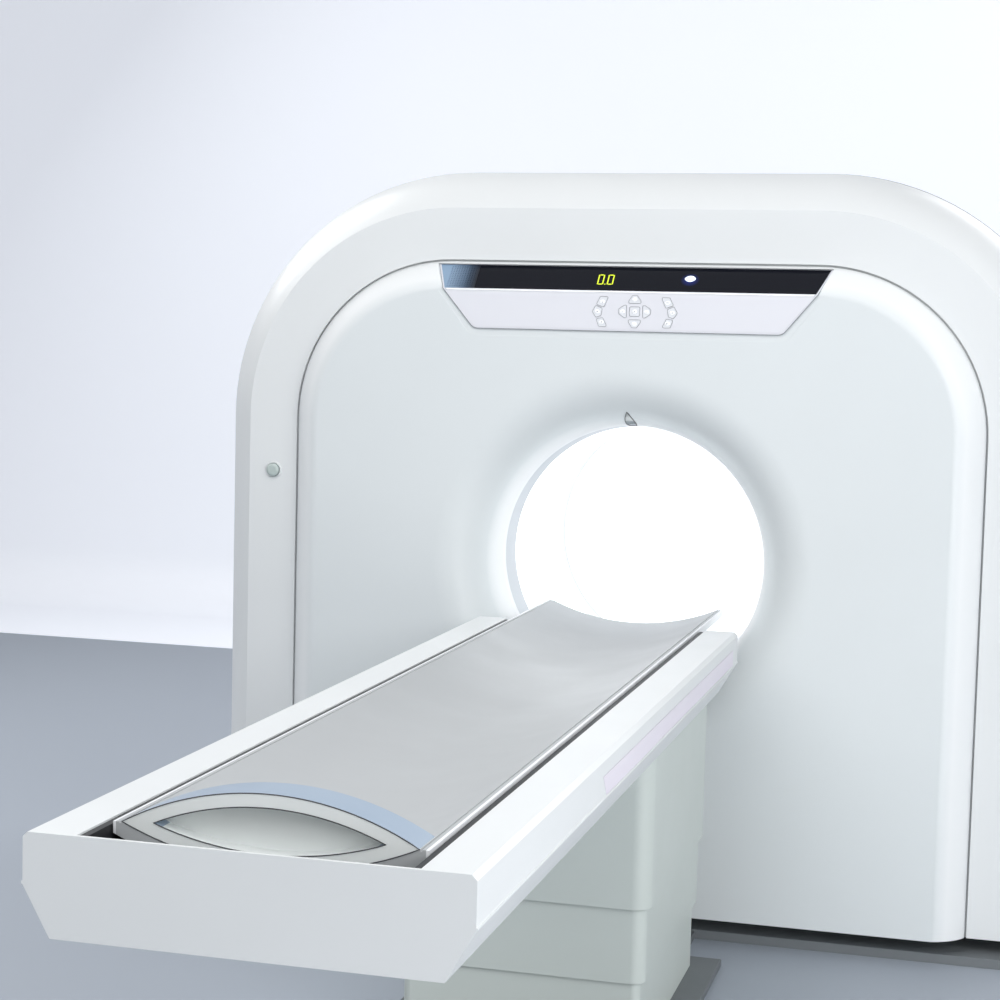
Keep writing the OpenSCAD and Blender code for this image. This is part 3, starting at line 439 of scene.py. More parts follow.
def distance_from(material, middle, weights=(1, 1, 1)):
    """Distance of a point from a place, with a weight for each axis."""
    tree, _, link = parts_of(material)
    place = tree.nodes.new("ShaderNodeTexCoord")
    weighted = tree.nodes.new("ShaderNodeVectorMath")
    weighted.operation = "MULTIPLY"
    weighted.inputs[1].default_value = weights
    away = tree.nodes.new("ShaderNodeVectorMath")
    away.operation = "DISTANCE"
    away.inputs[1].default_value = middle
    link(place.outputs["Object"], weighted.inputs[0])
    link(weighted.outputs["Vector"], away.inputs[0])
    return away.outputs["Value"]


ring_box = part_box("bore_rings")
throat_r = (ring_box[HIGH].x - ring_box[LOW].x) / 2 - RING_PROUD
panel_finish = finish["panel_grey"]
off_axis = distance_from(panel_finish, (0, 0, iso_z), (1, 0, 1))
panel_y = place_on(panel_finish, "Y")
behind_face = step_between(panel_finish, panel_y, front_y + BORDER_START_DEPTH, front_y + BORDER_FULL_DEPTH)
off_bore = step_between(panel_finish, off_axis, BORDER_START_R, BORDER_FULL_R)
painted_light_on_border = math_node(panel_finish, "MULTIPLY", behind_face, off_bore)
add_second_colour(panel_finish, painted_light_on_border, 0, 1, BORDER_PAINTED_LIGHT)
throat_start, throat_full = throat_r + THROAT_START, throat_r + THROAT_FULL
add_second_colour(panel_finish, off_axis, throat_start, throat_full, THROAT_PAINTED_GLOW)
print(f"throat radius {throat_r:.3f} m")

# %% The rings' white lip and rear
RING_WHITE = (0.93, 0.94, 0.94)
LIP_DEPTH, LIP_FADE, REAR_FADE = 0.022, 0.003, 0.01

ring_finish = finish["ring_grey"]
ring_depth = place_on(ring_finish, "Y")
lip_end = ring_box[LOW].y + LIP_DEPTH
ring_middle = (ring_box[LOW].y + ring_box[HIGH].y) / 2
add_second_colour(ring_finish, ring_depth, lip_end + LIP_FADE, lip_end, RING_WHITE)
add_second_colour(ring_finish, ring_depth, ring_middle - REAR_FADE, ring_middle, RING_WHITE)
print(f"white lip up to {lip_end:.3f} m")

# %% [markdown]
# ## The display
# The display is black glass. Its figures glow a yellow green, and the pointed oval beside
# them is white: one piece in the frame, so its colour changes with its place along X. The
# oval's light spreads a little way into the glass as a blue halo. A glare filter could add that
# after the render, but it wouldn't stay with the model, so the glass itself glows a little there.

# %% The glass and its halo
MARK_HALF_W = 0.014
HALO_COLOUR = (0.03, 0.06, 0.45, 1)
HALO_FAR, HALO_NEAR, HALO_LIGHT = 0.024, 0.009, 0.35

glass_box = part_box("display_glass")
mark_place = (glass_box[LOW] + glass_box[HIGH]) / 2
mark_place.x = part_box("display_symbols")[HIGH].x - MARK_HALF_W
black = finish["display_black"] = surface("display_black", (0.005, 0.006, 0.011), 0.12, specular=0.3)
add_gloss_drift(black, 0.09, 0.15, 9)
_, shader, link = parts_of(black)
halo = step_between(black, distance_from(black, mark_place), HALO_FAR, HALO_NEAR, 0, HALO_LIGHT)
link(halo, shader.inputs["Emission Strength"])
shader.inputs["Emission Color"].default_value = HALO_COLOUR
print(f"oval at {mark_place.x:.3f} m")

# %% The lit figures and the window
MARK_SIDE_X = 0.05
MARK_COLOUR = (0.80, 0.90, 1.0)
DIGIT_COLOUR = (0.62, 0.72, 0.03)
DIGIT_LIGHT = 0.65

lit = finish["display_light"] = glowing("display_light", DIGIT_COLOUR, DIGIT_LIGHT)
_, shader, link = parts_of(lit)
on_mark = math_node(lit, "GREATER_THAN", place_on(lit, "X"), MARK_SIDE_X)
add_second_colour(lit, on_mark, 0, 1, MARK_COLOUR)
link(shader.inputs["Base Color"].links[0].from_socket, shader.inputs["Emission Color"])
finish["window_grey"] = surface("window_grey", (0.30, 0.33, 0.33), 0.12, coat=0.5)
add_tone(finish["window_grey"], 0.08, 30)
print("light of the figures:", DIGIT_LIGHT)

# %% [markdown]
# ## The machinery's finishes
# Inside, castings, steel and painted boxes keep the colours that such machines have. The
# loudspeaker's plate runs from blue to nearly black, as the glass beside it. The seal and the
# belt are soft and dull, and the table's rails are black. Brushed metal could be a bump alone.
# Here its tone and grain are noises stretched along one axis, as turning or drawing leaves them.

# %% The loudspeaker and the seal
GRILLE_DARK, GRILLE_BLACK = (0.05, 0.085, 0.14), (0.012, 0.014, 0.022)
GRILLE_BLUE_W, GRILLE_DARK_W, GRILLE_BLACK_W = 0.03, 0.02, 0.03
grille_low, grille_high = (corner.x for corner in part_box("speaker_grille"))
grille = finish["grille_blue"] = surface("grille_blue", (0.27, 0.385, 0.53), 0.3)
grille_x = place_on(grille, "X")
dark_start, dark_full = grille_low + GRILLE_BLUE_W, grille_high - GRILLE_DARK_W
add_second_colour(grille, grille_x, dark_start, dark_full, GRILLE_DARK)
add_second_colour(grille, grille_x, grille_high - GRILLE_BLACK_W, grille_high, GRILLE_BLACK)
add_grain(grille, 0.0006, 0.00002)
finish["seal_black"] = surface("seal_black", (0.46, 0.47, 0.475), 0.7)
add_grain(finish["seal_black"], 0.0015, 0.00006)
print(f"loudspeaker from {grille_low:.3f} m to {grille_high:.3f} m")

# %% Finishes of the machinery
def metal(name, colour, low, high, stretch):
    """A metal whose grain runs along one axis."""
    material = surface(name, colour, (low + high) / 2, metallic=1.0)
    add_tone(material, 0.06, 60, stretch, 4.0)
    add_gloss_drift(material, low, high, 14)
    add_grain(material, 0.0008, 0.00003, stretch)
    return material


MACHINE_FINISHES = {
    "floor_plate": ((0.16, 0.175, 0.185), 0.50, 0.62, 0.05, 0.0022),
    "frame_steel": ((0.26, 0.30, 0.34), 0.42, 0.52, 0.03),
    "tube_paint": ((0.62, 0.60, 0.50), 0.34, 0.44, 0.02),
    "detector_blue": ((0.13, 0.21, 0.32), 0.36, 0.46, 0.03),
    "module_dark": ((0.045, 0.05, 0.055), 0.45, 0.55, 0.05),
    "lead_grey": ((0.15, 0.155, 0.165), 0.55, 0.68, 0.06, 0.003),
    "box_grey": ((0.36, 0.39, 0.43), 0.38, 0.48, 0.03),
    "motor_paint": ((0.055, 0.065, 0.085), 0.34, 0.44, 0.05),
}
METALS = {
    "bearing_steel": ((0.62, 0.63, 0.65), 0.20, 0.30, (1, 12, 1)),
    "rotor_aluminium": ((0.66, 0.68, 0.70), 0.32, 0.44, (1, 10, 1)),
    "copper_ring": ((0.80, 0.50, 0.26), 0.18, 0.30, (1, 14, 1)),
    "column_aluminium": ((0.66, 0.68, 0.70), 0.26, 0.36, (1, 1, 0.05)),
}
RAIL_GRAIN = (1, 0.04, 1)
finish.update({name: moulding(name, *values) for name, values in MACHINE_FINISHES.items()})
finish.update({name: metal(name, *values) for name, values in METALS.items()})
finish["belt_rubber"] = surface("belt_rubber", (0.02, 0.02, 0.022), 0.70)
add_grain(finish["belt_rubber"], 0.002, 0.0001)
finish["rail_black"] = surface("rail_black", (0.016, 0.017, 0.019), 0.42, specular=0.35)
add_tone(finish["rail_black"], 0.2, 40, RAIL_GRAIN)
add_grain(finish["rail_black"], 0.0008, 0.00003, RAIL_GRAIN)
print("finishes:", len(finish))

# %% [markdown]
# ## Dressing the frame
# The record names a finish for every piece of the real scanner. Each piece could be given its
# own by hand, but a loop forgets none, and the pieces that are added later look theirs up in the
# same table.

# %% Give every frame piece its finish
slots = {part["node"]: part["material_slot"] for part in frame["record"]["subparts"]}
for node, obj in nodes.items():
    obj.data.materials.clear()
    obj.data.materials.append(finish[slots[node]])
print("pieces with a finish:", len(nodes))

# %% [markdown]
# ## Softer edges
# The frame's solids have knife edges, and no moulding has. A bevel in the material would soften
# the light but not the outline, so the mesh is bevelled. A copy of such a solid is merged, its
# flat triangles are joined to whole faces, and what is sharper than a given angle is rounded.
# Normals weighted by the size of the faces keep the large ones even. The copy then stands for
# the frame's piece.

# %% A copy with softer edges
def rounded(obj, width, segments=2, angle=35):
    """Rounds the edges that are sharper than angle and shades the rest smooth."""
    apply_modifier(
        obj, "BEVEL", width=width, segments=segments, limit_method="ANGLE", angle_limit=math.radians(angle)
    )
    only(obj)
    bpy.ops.object.shade_smooth_by_angle(angle=math.radians(angle))
    return obj


def body_of(node):
    """The body a frame piece rides on."""
    return nodes[node]["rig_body"]


def frame_copy(node, name):
    """A merged copy of a frame piece, as an object of its own."""
    twin = bpy.data.objects.new(name, nodes[node].data.copy())
    twin.data.name = name
    bpy.context.scene.collection.objects.link(twin)
    only(twin)
    bpy.ops.mesh.customdata_custom_splitnormals_clear()
    bpy.ops.object.mode_set(mode="EDIT")
    bpy.ops.mesh.select_all(action="SELECT")
    bpy.ops.mesh.remove_doubles(threshold=0.00001)
    bpy.ops.mesh.dissolve_limited(angle_limit=math.radians(0.3))
    bpy.ops.object.mode_set(mode="OBJECT")
    return twin


def softened(node, width, segments=2, angle=35):
    """Stands for a frame piece with its edges rounded."""
    piece = rounded(frame_copy(node, node + "_soft"), width, segments, angle)
    apply_modifier(piece, "WEIGHTED_NORMAL", keep_sharp=True, weight=80)
    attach(piece, body_of(node))
    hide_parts(node)
    return piece


EDGE_WIDTHS = {
    0.0005: ["cradle_rails", "display_glass", "bearing_inner_ring", "bearing_outer_ring"],
    0.0008: ["cradle", "console_housing", "keypad_plate", "bore_rings", "cradle_motor", "table_frame"],
    0.0012: ["front_panel", "front_cover", "rear_cover", "top_cover", "side_covers", "brush_block"],
    0.0015: ["stop_button_left", "stop_button_right", "cradle_carriage", "rotor_disc", "slip_ring"],
    0.0020: ["pedestal_cover_upper", "pedestal_cover_middle", "pedestal_cover_lower", "drive_motor"],
    0.0030: ["table_covers", "gantry_base", "table_base", "xray_tube", "collimator", "counterweight"],
    0.0040: ["generator_box", "acquisition_box", "stator_frame"],
}
soft_pieces = {node: softened(node, width) for width, group in EDGE_WIDTHS.items() for node in group}
print("softened:", {node: len(piece.data.polygons) for node, piece in soft_pieces.items()})

# %% [markdown]
# ## The foot board
# The foot board is a moulding in two finishes: its arched upper side is a satin blue grey
# band, and its faces are light. No single coordinate tells them apart, because the band follows
# the arch, but the direction of a face does. So the faces that look up get the band's finish.

# %% The foot board in two finishes
BAND_H, BAND_UNDER_RIM = 0.075, 0.004
BAND_SLOPE, BAND_END_SLOPE = 0.25, 0.5
board = softened("foot_board", 0.0015, 3)
board.data.materials.append(finish["board_grey"])
board_top = max(vertex.co.z for vertex in board.data.vertices)
band_low = max(board_top - BAND_H, rim_z - BAND_UNDER_RIM)
for face in board.data.polygons:
    looks_up_there = face.normal.z > BAND_SLOPE and abs(face.normal.y) < BAND_END_SLOPE
    face.material_index = 0 if looks_up_there and face.center.z > band_low else 1
print("faces of the band:", sum(face.material_index == 0 for face in board.data.polygons))

# %% [markdown]
# ## Fine lines
# Joints, hairlines and outlines are what gives a plain moulding its scale. They could be drawn
# in the material, but a real bead stays sharp from close by and has a lit side. Each is a thin
# round bead along the rim of some faces: the faces are selected, the selection is turned into
# its border, and that border becomes a curve with a thickness. Where a face has holes, only
# its longest border is kept. The outline of a key is drawn in a little, so that it goes in with
# the key and clears the plate round it.

# %% Beads along borders
def widest_part(obj):
    """Keeps the loose part of a mesh that reaches furthest."""
    only(obj)
    bpy.ops.object.mode_set(mode="EDIT")
    bpy.ops.mesh.select_all(action="SELECT")
    bpy.ops.mesh.separate(type="LOOSE")
    bpy.ops.object.mode_set(mode="OBJECT")
    parts = sorted(bpy.context.selected_objects, key=lambda part: part.dimensions.length)
    for part in parts[:-1]:
        bpy.data.objects.remove(part)
    return only(parts[-1])


def border_bead(node, name, radius, faces, material, widest=False, keep=None):
    """A round bead along the border of the faces that a test picks."""
    bead = frame_copy(node, name)
    bpy.context.tool_settings.mesh_select_mode = (False, False, True)
    for face in bead.data.polygons:
        face.select = faces(face)
    picked = sum(face.select for face in bead.data.polygons)
    bpy.ops.object.mode_set(mode="EDIT")
    bpy.ops.mesh.region_to_loop()
    bpy.ops.mesh.duplicate()
    bpy.ops.mesh.select_all(action="INVERT")
    bpy.ops.mesh.delete(type="VERT")
    bpy.ops.mesh.select_all(action="SELECT")
    bpy.ops.mesh.delete(type="ONLY_FACE")
    bpy.ops.mesh.select_all(action="DESELECT")
    bpy.ops.object.mode_set(mode="OBJECT")
    if keep:
        bpy.context.tool_settings.mesh_select_mode = (True, False, False)
        for vertex in bead.data.vertices:
            vertex.select = not keep(vertex.co)
        bpy.ops.object.mode_set(mode="EDIT")
        bpy.ops.mesh.delete(type="VERT")
        bpy.ops.object.mode_set(mode="OBJECT")
    if widest:
        bead = widest_part(bead)
    bpy.ops.object.convert(target="CURVE")
    bead = bpy.context.object
    bead.data.bevel_depth, bead.data.bevel_resolution = radius, 1
    bpy.ops.object.convert(target="MESH")
    bead = bpy.context.object
    bead.name = bead.data.name = name
    bpy.ops.object.shade_smooth()
    bead.data.materials.clear()
    bead.data.materials.append(material)
    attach(bead, body_of(node))
    print(name, "faces", picked, "bead faces", len(bead.data.polygons))
    return bead


# %% Outlines and hairlines
line_grey = moulding("line_grey", (0.25, 0.26, 0.275), 0.5, 0.6, 0.05, 0.0006)
line_dark = moulding("line_dark", (0.06, 0.063, 0.07), 0.5, 0.6, 0.05, 0.0006)


def looks_front(face):
    """Whether a face looks towards the table."""
    return face.normal.y < -0.3


def closes_foot(face):
    """Whether a face of the foot board is its outermost one."""
    return face.normal.y < -0.9 and face.center.y < -2.43


KEY_OUTLINE_R, KEY_OUTLINE_IN = 0.0005, 0.0012
CONSOLE_OUTLINE_R, WINDOW_RIM_R, HAIRLINE_R = 0.0009, 0.0011, 0.0009
KEYS = [node for node in nodes if node.startswith("key_")]
for key in KEYS:
    outline = border_bead(key, key + "_outline", KEY_OUTLINE_R, looks_front, line_grey)
    low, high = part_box(key)
    middle, size = (low + high) / 2, high - low
    shrink = Matrix.Diagonal((1 - KEY_OUTLINE_IN / size.x, 1, 1 - KEY_OUTLINE_IN / size.z, 1))
    outline.data.transform(Matrix.Translation(middle) @ shrink @ Matrix.Translation(-middle))
border_bead("console_housing", "console_outline", CONSOLE_OUTLINE_R, looks_front, line_grey, widest=True)
border_bead("laser_window", "laser_window_rim", WINDOW_RIM_R, lambda f: f.normal.z < -0.2, line_dark)
border_bead("foot_board", "foot_board_hairline", HAIRLINE_R, closes_foot, line_dark)

# %% [markdown]
# ## Joints of the covers
# The gantry's covers are separate mouldings, and a dark joint shows where two of them meet.
# The joints run down both sides and over the top, at the front and the rear edge of the middle
# covers. A groove would have to be cut into both covers, so a dark bead lies over each joint.

# %% Joints of the covers
middle_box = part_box("top_cover")
JOINT_R = 0.0012


def at_cover_ends(place):
    """Whether a point lies on the front or the rear edge of the middle covers."""
    return min(place.y - middle_box[LOW].y, middle_box[HIGH].y - place.y) < 0.001


def looks_up(face):
    """Whether a face of the top cover is on its outside."""
    return face.normal.z > 0.02


def looks_sideways(face):
    """Whether a face of the side covers is on their outside."""
    return abs(face.normal.x) > 0.9 and abs(face.center.x) > middle_box[HIGH].x - 0.004


border_bead("top_cover", "cover_joint_top", JOINT_R, looks_up, line_grey, keep=at_cover_ends)
border_bead("side_covers", "cover_joint_sides", JOINT_R, looks_sideways, line_grey, keep=at_cover_ends)

# %% [markdown]
# ## Wiper lips
# The pedestal's covers slide in each other, and a soft lip on the upper edge of each wipes the
# next one. It could be swept along a drawn path, but the cover's own edge already is that path,
# so it is one more bead, of rubber.

# %% Wiper lips of the pedestal
LIP_R = 0.0013
for node in ("pedestal_cover_lower", "pedestal_cover_middle"):
    top_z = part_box(node)[HIGH].z
    border_bead(
        node, node + "_lip", LIP_R, lambda f: f.normal.z > 0.9 and f.center.z > top_z - 0.001,
        finish["belt_rubber"], widest=True
    )

# %% [markdown]
# ## Console trim
# A bright bar divides the display from the keypad. A paler stripe in the housing's finish would
# stay flat. It is a long block with rounded edges, laid over the ridge in the housing, so that
# it catches the light. It takes the key fields' white, which gives off a little light, so its
# brightness is partly a painted glow.

# %% Bright bar
# ICON_LIGHT lights the key fields from behind. On the bar, which has no lamp, it is a painted glow.
ICON_LIGHT = 0.12
icon_white = surface("icon_white", (0.93, 0.94, 0.95), 0.35)
_, shader, _ = parts_of(icon_white)
shader.inputs["Emission Color"].default_value = (1, 1, 1, 1)
shader.inputs["Emission Strength"].default_value = ICON_LIGHT
add_grain(icon_white, 0.0008, 0.00001)


def dressed(piece, node, material):
    """Gives a new piece its finish, and lets it ride with the node that carries it."""
    piece.data.materials.clear()
    piece.data.materials.append(material)
    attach(piece, body_of(node))
    return piece


def block(name, low, high, radius=0.0):
    """A box between two corners, with rounded edges."""
    low, high = Vector(low), Vector(high)
    bpy.ops.mesh.primitive_cube_add(size=1, location=(low + high) / 2)
    bpy.context.object.scale = high - low
    obj = named(name)
    return rounded(obj, radius) if radius else obj


keypad_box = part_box("keypad_plate")
BAR_H, BAR_DEPTH, BAR_PROUD, BAR_END, BAR_GAP, BAR_ROUND = 0.0038, 0.003, 0.0018, 0.002, 0.0002, 0.0012
bar_low = Vector((keypad_box[LOW].x + BAR_END, keypad_box[LOW].y - BAR_PROUD, keypad_box[HIGH].z + BAR_GAP))
bar_high = Vector((keypad_box[HIGH].x - BAR_END, bar_low.y + BAR_DEPTH, bar_low.z + BAR_H))
bar = block("console_bar", bar_low, bar_high, BAR_ROUND)
# The bar's white gives off light though no lamp is behind it: a painted glow.
dressed(bar, "console_housing", icon_white)
print("console bar:", bar.name)

# %% [markdown]
# ## Symbols on the keys
# Each key is lit from behind through a pale field with a small dark sign. The field is a flat
# disc with a softened rim, and the sign is a triangle, a square, a hexagon or a dot, or two of
# them. A picture of the keypad would blur from close by, so each sign is a shape. They ride on
# their key, so they go in with it.

# %% A flat sign
icon_dark = moulding("icon_dark", (0.22, 0.235, 0.26), 0.4, 0.5, 0.02, 0.0005)
KEY_FACE_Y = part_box("key_centre")[LOW].y


def flat_sign(name, corners, size, turn, middle, depth):
    """A flat sign with a given number of corners that looks towards the table."""
    deselect()
    bpy.ops.mesh.primitive_circle_add(
        vertices=corners, radius=1, fill_type="NGON", location=middle,
        rotation=(math.radians(90), math.radians(turn), 0)
    )
    bpy.context.object.scale = (size[0] / 2, size[1] / 2, 1)
    sign = named(name)
    bpy.ops.object.mode_set(mode="EDIT")
    bpy.ops.mesh.select_all(action="SELECT")
    bpy.ops.mesh.extrude_region_move(TRANSFORM_OT_translate={"value": (0, -depth, 0)})
    bpy.ops.mesh.select_all(action="SELECT")
    bpy.ops.mesh.normals_make_consistent(inside=False)
    bpy.ops.object.mode_set(mode="OBJECT")
    return rounded(sign, depth * 0.4, 1, 50)


def joined(name, pieces):
    """Several pieces made one."""
    deselect()
    for piece in pieces:
        piece.select_set(True)
    bpy.context.view_layer.objects.active = pieces[0]
    if len(pieces) > 1:
        bpy.ops.object.join()
    obj = bpy.context.object
    obj.name = obj.data.name = name
    return obj


# %% Key symbols
SIGNS = {
    "key_up": [(3, 0, 0, 0)],
    "key_down": [(3, 180, 0, 0)],
    "key_left": [(3, -90, 0, 0)],
    "key_right": [(3, 90, 0, 0)],
    "key_centre": [(4, 45, 0, 0)],
    "key_left_top": [(3, 0, 0, 0.0012), (4, 45, 0, -0.0018)],
    "key_left_middle": [(16, 0, 0, 0)],
    "key_left_bottom": [(3, 180, 0, -0.0012), (4, 45, 0, 0.0018)],
    "key_right_top": [(4, 45, -0.0016, 0), (4, 45, 0.0016, 0)],
    "key_right_middle": [(6, 0, 0, 0)],
    "key_right_bottom": [(16, 0, -0.0014, 0), (3, 0, 0.0018, 0)],
}
FIELD_SIZE, FIELD_DEPTH = (0.0135, 0.0100), 0.00025
SIGN_SIZE, SIGN_PROUD, SIGN_DEPTH = (0.0030, 0.0026), 0.0002, 0.0003
for key in KEYS:
    low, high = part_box(key)
    middle = Vector(((low.x + high.x) / 2, KEY_FACE_Y, (low.z + high.z) / 2))
    field = flat_sign(key + "_field", 12, FIELD_SIZE, 0, middle, FIELD_DEPTH)
    field.data.materials.append(icon_white)
    signs = []
    for number, (corners, turn, x, z) in enumerate(SIGNS[key]):
        spot = middle + Vector((x, -SIGN_PROUD, z))
        sign = flat_sign(f"{key}_sign_{number}", corners, SIGN_SIZE, turn, spot, SIGN_DEPTH)
        sign.data.materials.append(icon_dark)
        signs.append(sign)
    symbol = joined(key + "_symbol", [field, *signs])
    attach(symbol, body_of(key))
print("key symbols:", len(KEYS))

# %% [markdown]
# ## Rings and bolts
# Each stop button stands in a ring. The gantry is bolted to the floor through its base, with a
# washer under each six-sided head. A profile could be turned about an axis, but a torus and
# cylinders of six and of many sides are these shapes already.

# %% Rings round the stop buttons
def ring_about(name, middle, radius, thickness, axis_turn):
    """A round ring, turned from lying flat."""
    deselect()
    bpy.ops.mesh.primitive_torus_add(
        major_radius=radius, minor_radius=thickness, major_segments=40, minor_segments=10,
        location=middle, rotation=axis_turn
    )
    ring = named(name)
    bpy.ops.object.shade_smooth()
    return ring


ALONG_Y = (math.radians(90), 0, 0)
RING_Y, RING_GAP, RING_THICKNESS = -0.0005, 0.0032, 0.0026
for side in ("left", "right"):
    low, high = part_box("stop_button_" + side)
    middle = Vector(((low.x + high.x) / 2, RING_Y, (low.z + high.z) / 2))
    ring_r = (high.x - low.x) / 2 + RING_GAP
    ring = ring_about(f"stop_ring_{side}", middle, ring_r, RING_THICKNESS, ALONG_Y)
    dressed(ring, "front_cover", finish["cover_white"])
print(f"button rings of {ring_r:.4f} m")


# %% Anchor bolts
def bolt_set(name, middle, size):
    """A six-sided head on a washer, standing on the plane through its middle."""
    deselect()
    bpy.ops.mesh.primitive_cylinder_add(
        vertices=28, radius=size * 1.15, depth=size * 0.22, location=middle + Vector((0, 0, size * 0.11))
    )
    washer = rounded(named(name + "_washer"), size * 0.05, 2)
    deselect()
    bpy.ops.mesh.primitive_cylinder_add(
        vertices=6, radius=size * 0.82, depth=size * 0.8, location=middle + Vector((0, 0, size * 0.62))
    )
    head = rounded(named(name + "_head"), size * 0.08, 2)
    return joined(name, [washer, head])


def copied(obj, name, move=(0, 0, 0)):
    """A copy with its own mesh, moved in its mesh."""
    twin = obj.copy()
    twin.data = obj.data.copy()
    twin.name = twin.data.name = name
    bpy.context.scene.collection.objects.link(twin)
    twin.data.transform(Matrix.Translation(move))
    return twin


ANCHOR_PLACE = Vector((0.990, 0.160, 0.024))
ANCHOR_RUN_X, ANCHOR_RUN_Y = 1.980, 0.640
ANCHOR_SIZE = 0.016
anchor_moves = [(-ANCHOR_RUN_X, 0, 0), (0, ANCHOR_RUN_Y, 0), (-ANCHOR_RUN_X, ANCHOR_RUN_Y, 0)]
anchors = [bolt_set("anchor_bolt_0", ANCHOR_PLACE, ANCHOR_SIZE)]
for number, move in enumerate(anchor_moves, 1):
    anchors.append(copied(anchors[0], f"anchor_bolt_{number}", move))
for anchor in anchors:
    dressed(anchor, "gantry_base", finish["bearing_steel"])
print("anchors:", len(anchors))

# %% [markdown]
# ## Screw caps
# The rear cover and the side covers come off for service. Their screws lie under flush round
# caps, each a disc with a rounded edge in a thin dark gap. An array would space them evenly, but
# the top ones stand closer, so one cap is modelled and copied to a list of places.

# %% A screw cap
CAP_R, CAP_H, CAP_ROUND = 0.0085, 0.003, 0.0006
CAP_GAP_R, CAP_GAP_W = 0.0092, 0.0006


def screw_cap(name, middle, turn):
    """A round cap in a thin gap, turned from lying flat."""
    deselect()
    bpy.ops.mesh.primitive_cylinder_add(
        vertices=28, radius=CAP_R, depth=CAP_H, location=middle, rotation=turn
    )
    disc = rounded(named(name + "_disc"), CAP_ROUND, 2)
    disc.data.materials.append(finish["cover_white"])
    gap = ring_about(name + "_gap", middle, CAP_GAP_R, CAP_GAP_W, turn)
    gap.data.materials.append(line_grey)
    return joined(name, [disc, gap])


def cap_row(node, name, first, turn, moves):
    """A cap and its copies on one cover."""
    caps = [screw_cap(name + "_0", first, turn)]
    for number, move in enumerate(moves, 1):
        caps.append(copied(caps[0], f"{name}_{number}", move))
    for cap in caps:
        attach(cap, body_of(node))
    return len(caps)


# %% Screw caps of the service covers
REAR_CAP_X, REAR_CAP_Z = 0.93, 0.35
CAP_STEP, TOP_CAP_IN, TOP_CAP_RISE = 0.45, 0.58, 1.43
SIDE_CAP_IN, SIDE_CAP_Z = 0.05, 0.70
ALONG_X = (0, math.radians(90), 0)

rear_box, side_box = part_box("rear_cover"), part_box("side_covers")
rear_first = Vector((REAR_CAP_X, rear_box[HIGH].y, REAR_CAP_Z))
rear_across, heights = -2 * REAR_CAP_X, (0, CAP_STEP, 2 * CAP_STEP)
rear_moves = [(0, 0, z) for z in heights[1:]]
rear_moves += [(x, 0, TOP_CAP_RISE) for x in (-TOP_CAP_IN, rear_across + TOP_CAP_IN)]
rear_moves += [(rear_across, 0, z) for z in reversed(heights)]
side_first = Vector((side_box[HIGH].x, side_box[LOW].y + SIDE_CAP_IN, SIDE_CAP_Z))
side_run = side_box[HIGH].y - side_box[LOW].y - 2 * SIDE_CAP_IN
side_across = -2 * side_box[HIGH].x
side_moves = [(x, y, z) for x in (0, side_across) for y in (0, side_run) for z in (0, CAP_STEP)][1:]
rear_caps = cap_row("rear_cover", "rear_cap", rear_first, ALONG_Y, rear_moves)
side_caps = cap_row("side_covers", "side_cap", side_first, ALONG_X, side_moves)
print("screw caps:", rear_caps, side_caps)

# %% [markdown]
# ## Dust screens
# A filter mat lies behind each field of air slots, so that the machinery doesn't show through
# them. Its threads could be modelled, but only its darkness and grain reach the eye. So it is a
# thin block with rounded edges and a coarse woven grain.

# %% Screens behind the air slots
filter_dark = surface("filter_dark", (0.035, 0.038, 0.042), 0.85)
add_tone(filter_dark, 0.5, 420, (1, 1, 1), 1.0)
add_grain(filter_dark, 0.0035, 0.0008)

SCREEN_BEHIND, SCREEN_THICKNESS, SCREEN_ROUND = 0.014, 0.004, 0.0015
SIDE_SLOTS_LOW, SIDE_SLOTS_HIGH, SIDE_SLOTS_IN = 0.140, 0.560, 0.100
TOP_SLOTS_HALF_W, TOP_SLOTS_IN = 0.335, 0.180

screen_x = side_box[HIGH].x - SCREEN_BEHIND
screen = block(
    "dust_screen_right", (screen_x - SCREEN_THICKNESS, side_box[LOW].y + SIDE_SLOTS_IN, SIDE_SLOTS_LOW),
    (screen_x, side_box[HIGH].y - SIDE_SLOTS_IN, SIDE_SLOTS_HIGH), SCREEN_ROUND
)
screen_left = copied(screen, "dust_screen_left", (-2 * screen_x + SCREEN_THICKNESS, 0, 0))
top_z = middle_box[HIGH].z - SCREEN_BEHIND
screen_top = block(
    "dust_screen_top", (-TOP_SLOTS_HALF_W, middle_box[LOW].y + TOP_SLOTS_IN, top_z - SCREEN_THICKNESS),
    (TOP_SLOTS_HALF_W, middle_box[HIGH].y - TOP_SLOTS_IN, top_z), SCREEN_ROUND
)
for piece, node in ((screen, "side_covers"), (screen_left, "side_covers"), (screen_top, "top_cover")):
    dressed(piece, node, filter_dark)
print(f"screens at {screen_x:.3f} m from the middle and {top_z:.3f} m from the floor")
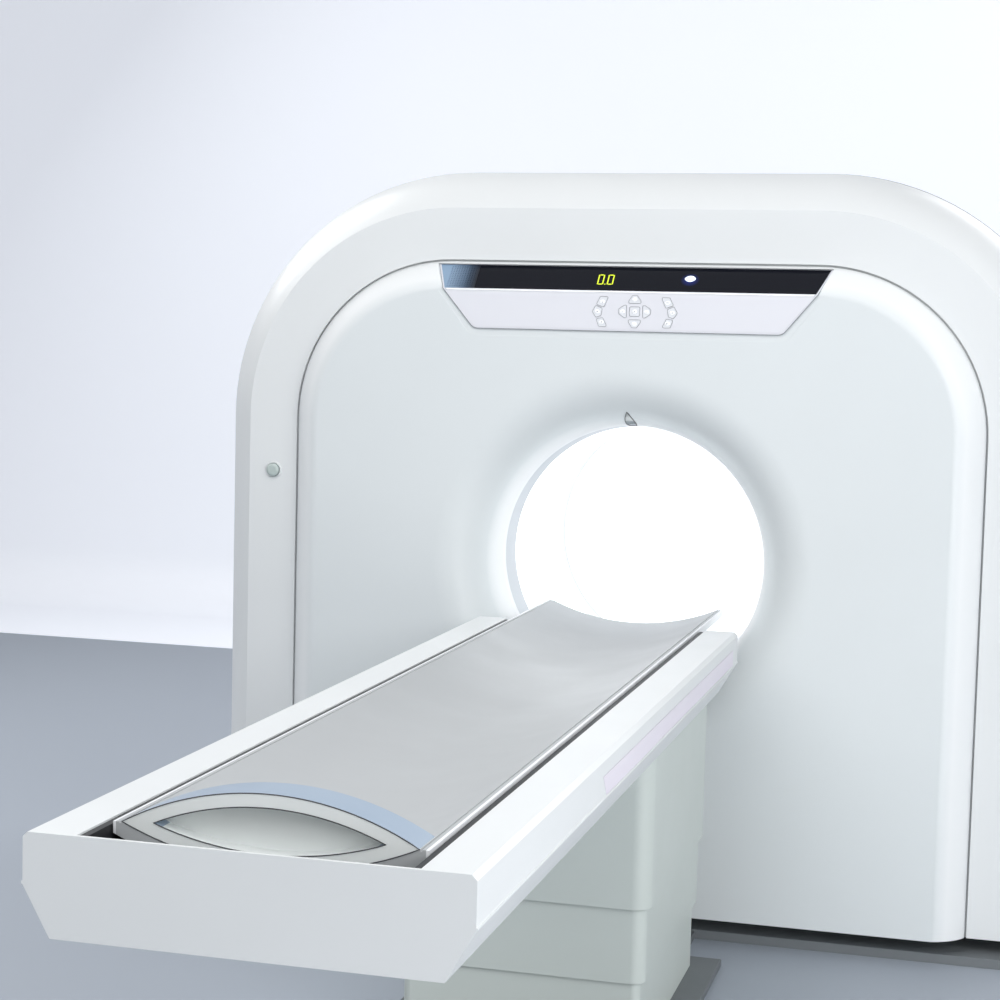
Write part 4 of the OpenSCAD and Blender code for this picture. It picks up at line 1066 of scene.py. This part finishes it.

# %% [markdown]
# ## The studio's own finish
# The floor is a slightly glossy grey, and keeps the scanner's shadow. Where it ends, the pale
# wall starts, which is a little brighter to the camera than to the scanner. Behind the bore it
# runs to a white that also gives off light, a painted glow, so that the opening looks as bright
# as its liner. Two materials would show a seam in the fold, so all of it is picked from
# coordinates in one. The backdrop is clear from behind, so that the scanner's rear can be
# looked at too.

# %% The floor and the wall
WALL_BLUE = (0.74, 0.765, 0.81)
FLOOR_GREY = (0.356, 0.393, 0.448)
FLOOR_END, FLOOR_FADE = 3.8, 0.02
WALL_START_Z, WALL_FULL_Z = 0.005, 0.05
# The white patch behind the bore, with its own light, is a painted glow on the backdrop.
GLOW_PLACE = Vector((-1.0, WALL_Y, 0.38))
GLOW_NEAR, GLOW_FAR = 1.1, 1.7
GLOW_WHITE = (0.95, 0.955, 0.96)

floor_finish = surface("studio_floor", WALL_BLUE, 0.5)
add_tone(floor_finish, 0.01, 0.4)
depth = place_on(floor_finish, "Y")
add_second_colour(floor_finish, depth, FLOOR_END + FLOOR_FADE, FLOOR_END, FLOOR_GREY)
on_wall = step_between(floor_finish, place_on(floor_finish, "Z"), WALL_START_Z, WALL_FULL_Z)
near_glow = step_between(floor_finish, distance_from(floor_finish, GLOW_PLACE), GLOW_FAR, GLOW_NEAR)
glow_share = math_node(floor_finish, "MULTIPLY", near_glow, on_wall)
add_second_colour(floor_finish, glow_share, 0, 1, GLOW_WHITE)
print("studio floor ends at", FLOOR_END)

# %% The wall's light and its clear back
WALL_LIGHT, WALL_LIGHT_COLOUR = 0.33, (0.90, 0.92, 1.0, 1)
GLOW_LIGHT = 0.5

tree, shader, link = parts_of(floor_finish)
seen = tree.nodes.new("ShaderNodeLightPath").outputs["Is Camera Ray"]
beyond_floor = step_between(floor_finish, depth, FLOOR_END, FLOOR_END + FLOOR_FADE, 0, WALL_LIGHT)
wall_light = math_node(floor_finish, "MULTIPLY", beyond_floor, seen)
# Painted glow: the patch behind the bore gives off light of its own.
glow_light = math_node(floor_finish, "MULTIPLY", glow_share, GLOW_LIGHT)
link(math_node(floor_finish, "ADD", wall_light, glow_light), shader.inputs["Emission Strength"])
shader.inputs["Emission Color"].default_value = WALL_LIGHT_COLOUR

clear = tree.nodes.new("ShaderNodeBsdfTransparent")
one_sided = tree.nodes.new("ShaderNodeMixShader")
link(tree.nodes.new("ShaderNodeNewGeometry").outputs["Backfacing"], one_sided.inputs["Fac"])
link(shader.outputs["BSDF"], one_sided.inputs[1])
link(clear.outputs["BSDF"], one_sided.inputs[2])
link(one_sided.outputs["Shader"], tree.nodes["Material Output"].inputs["Surface"])
backdrop.data.materials.append(floor_finish)
print("nodes in the backdrop's finish:", len(tree.nodes))
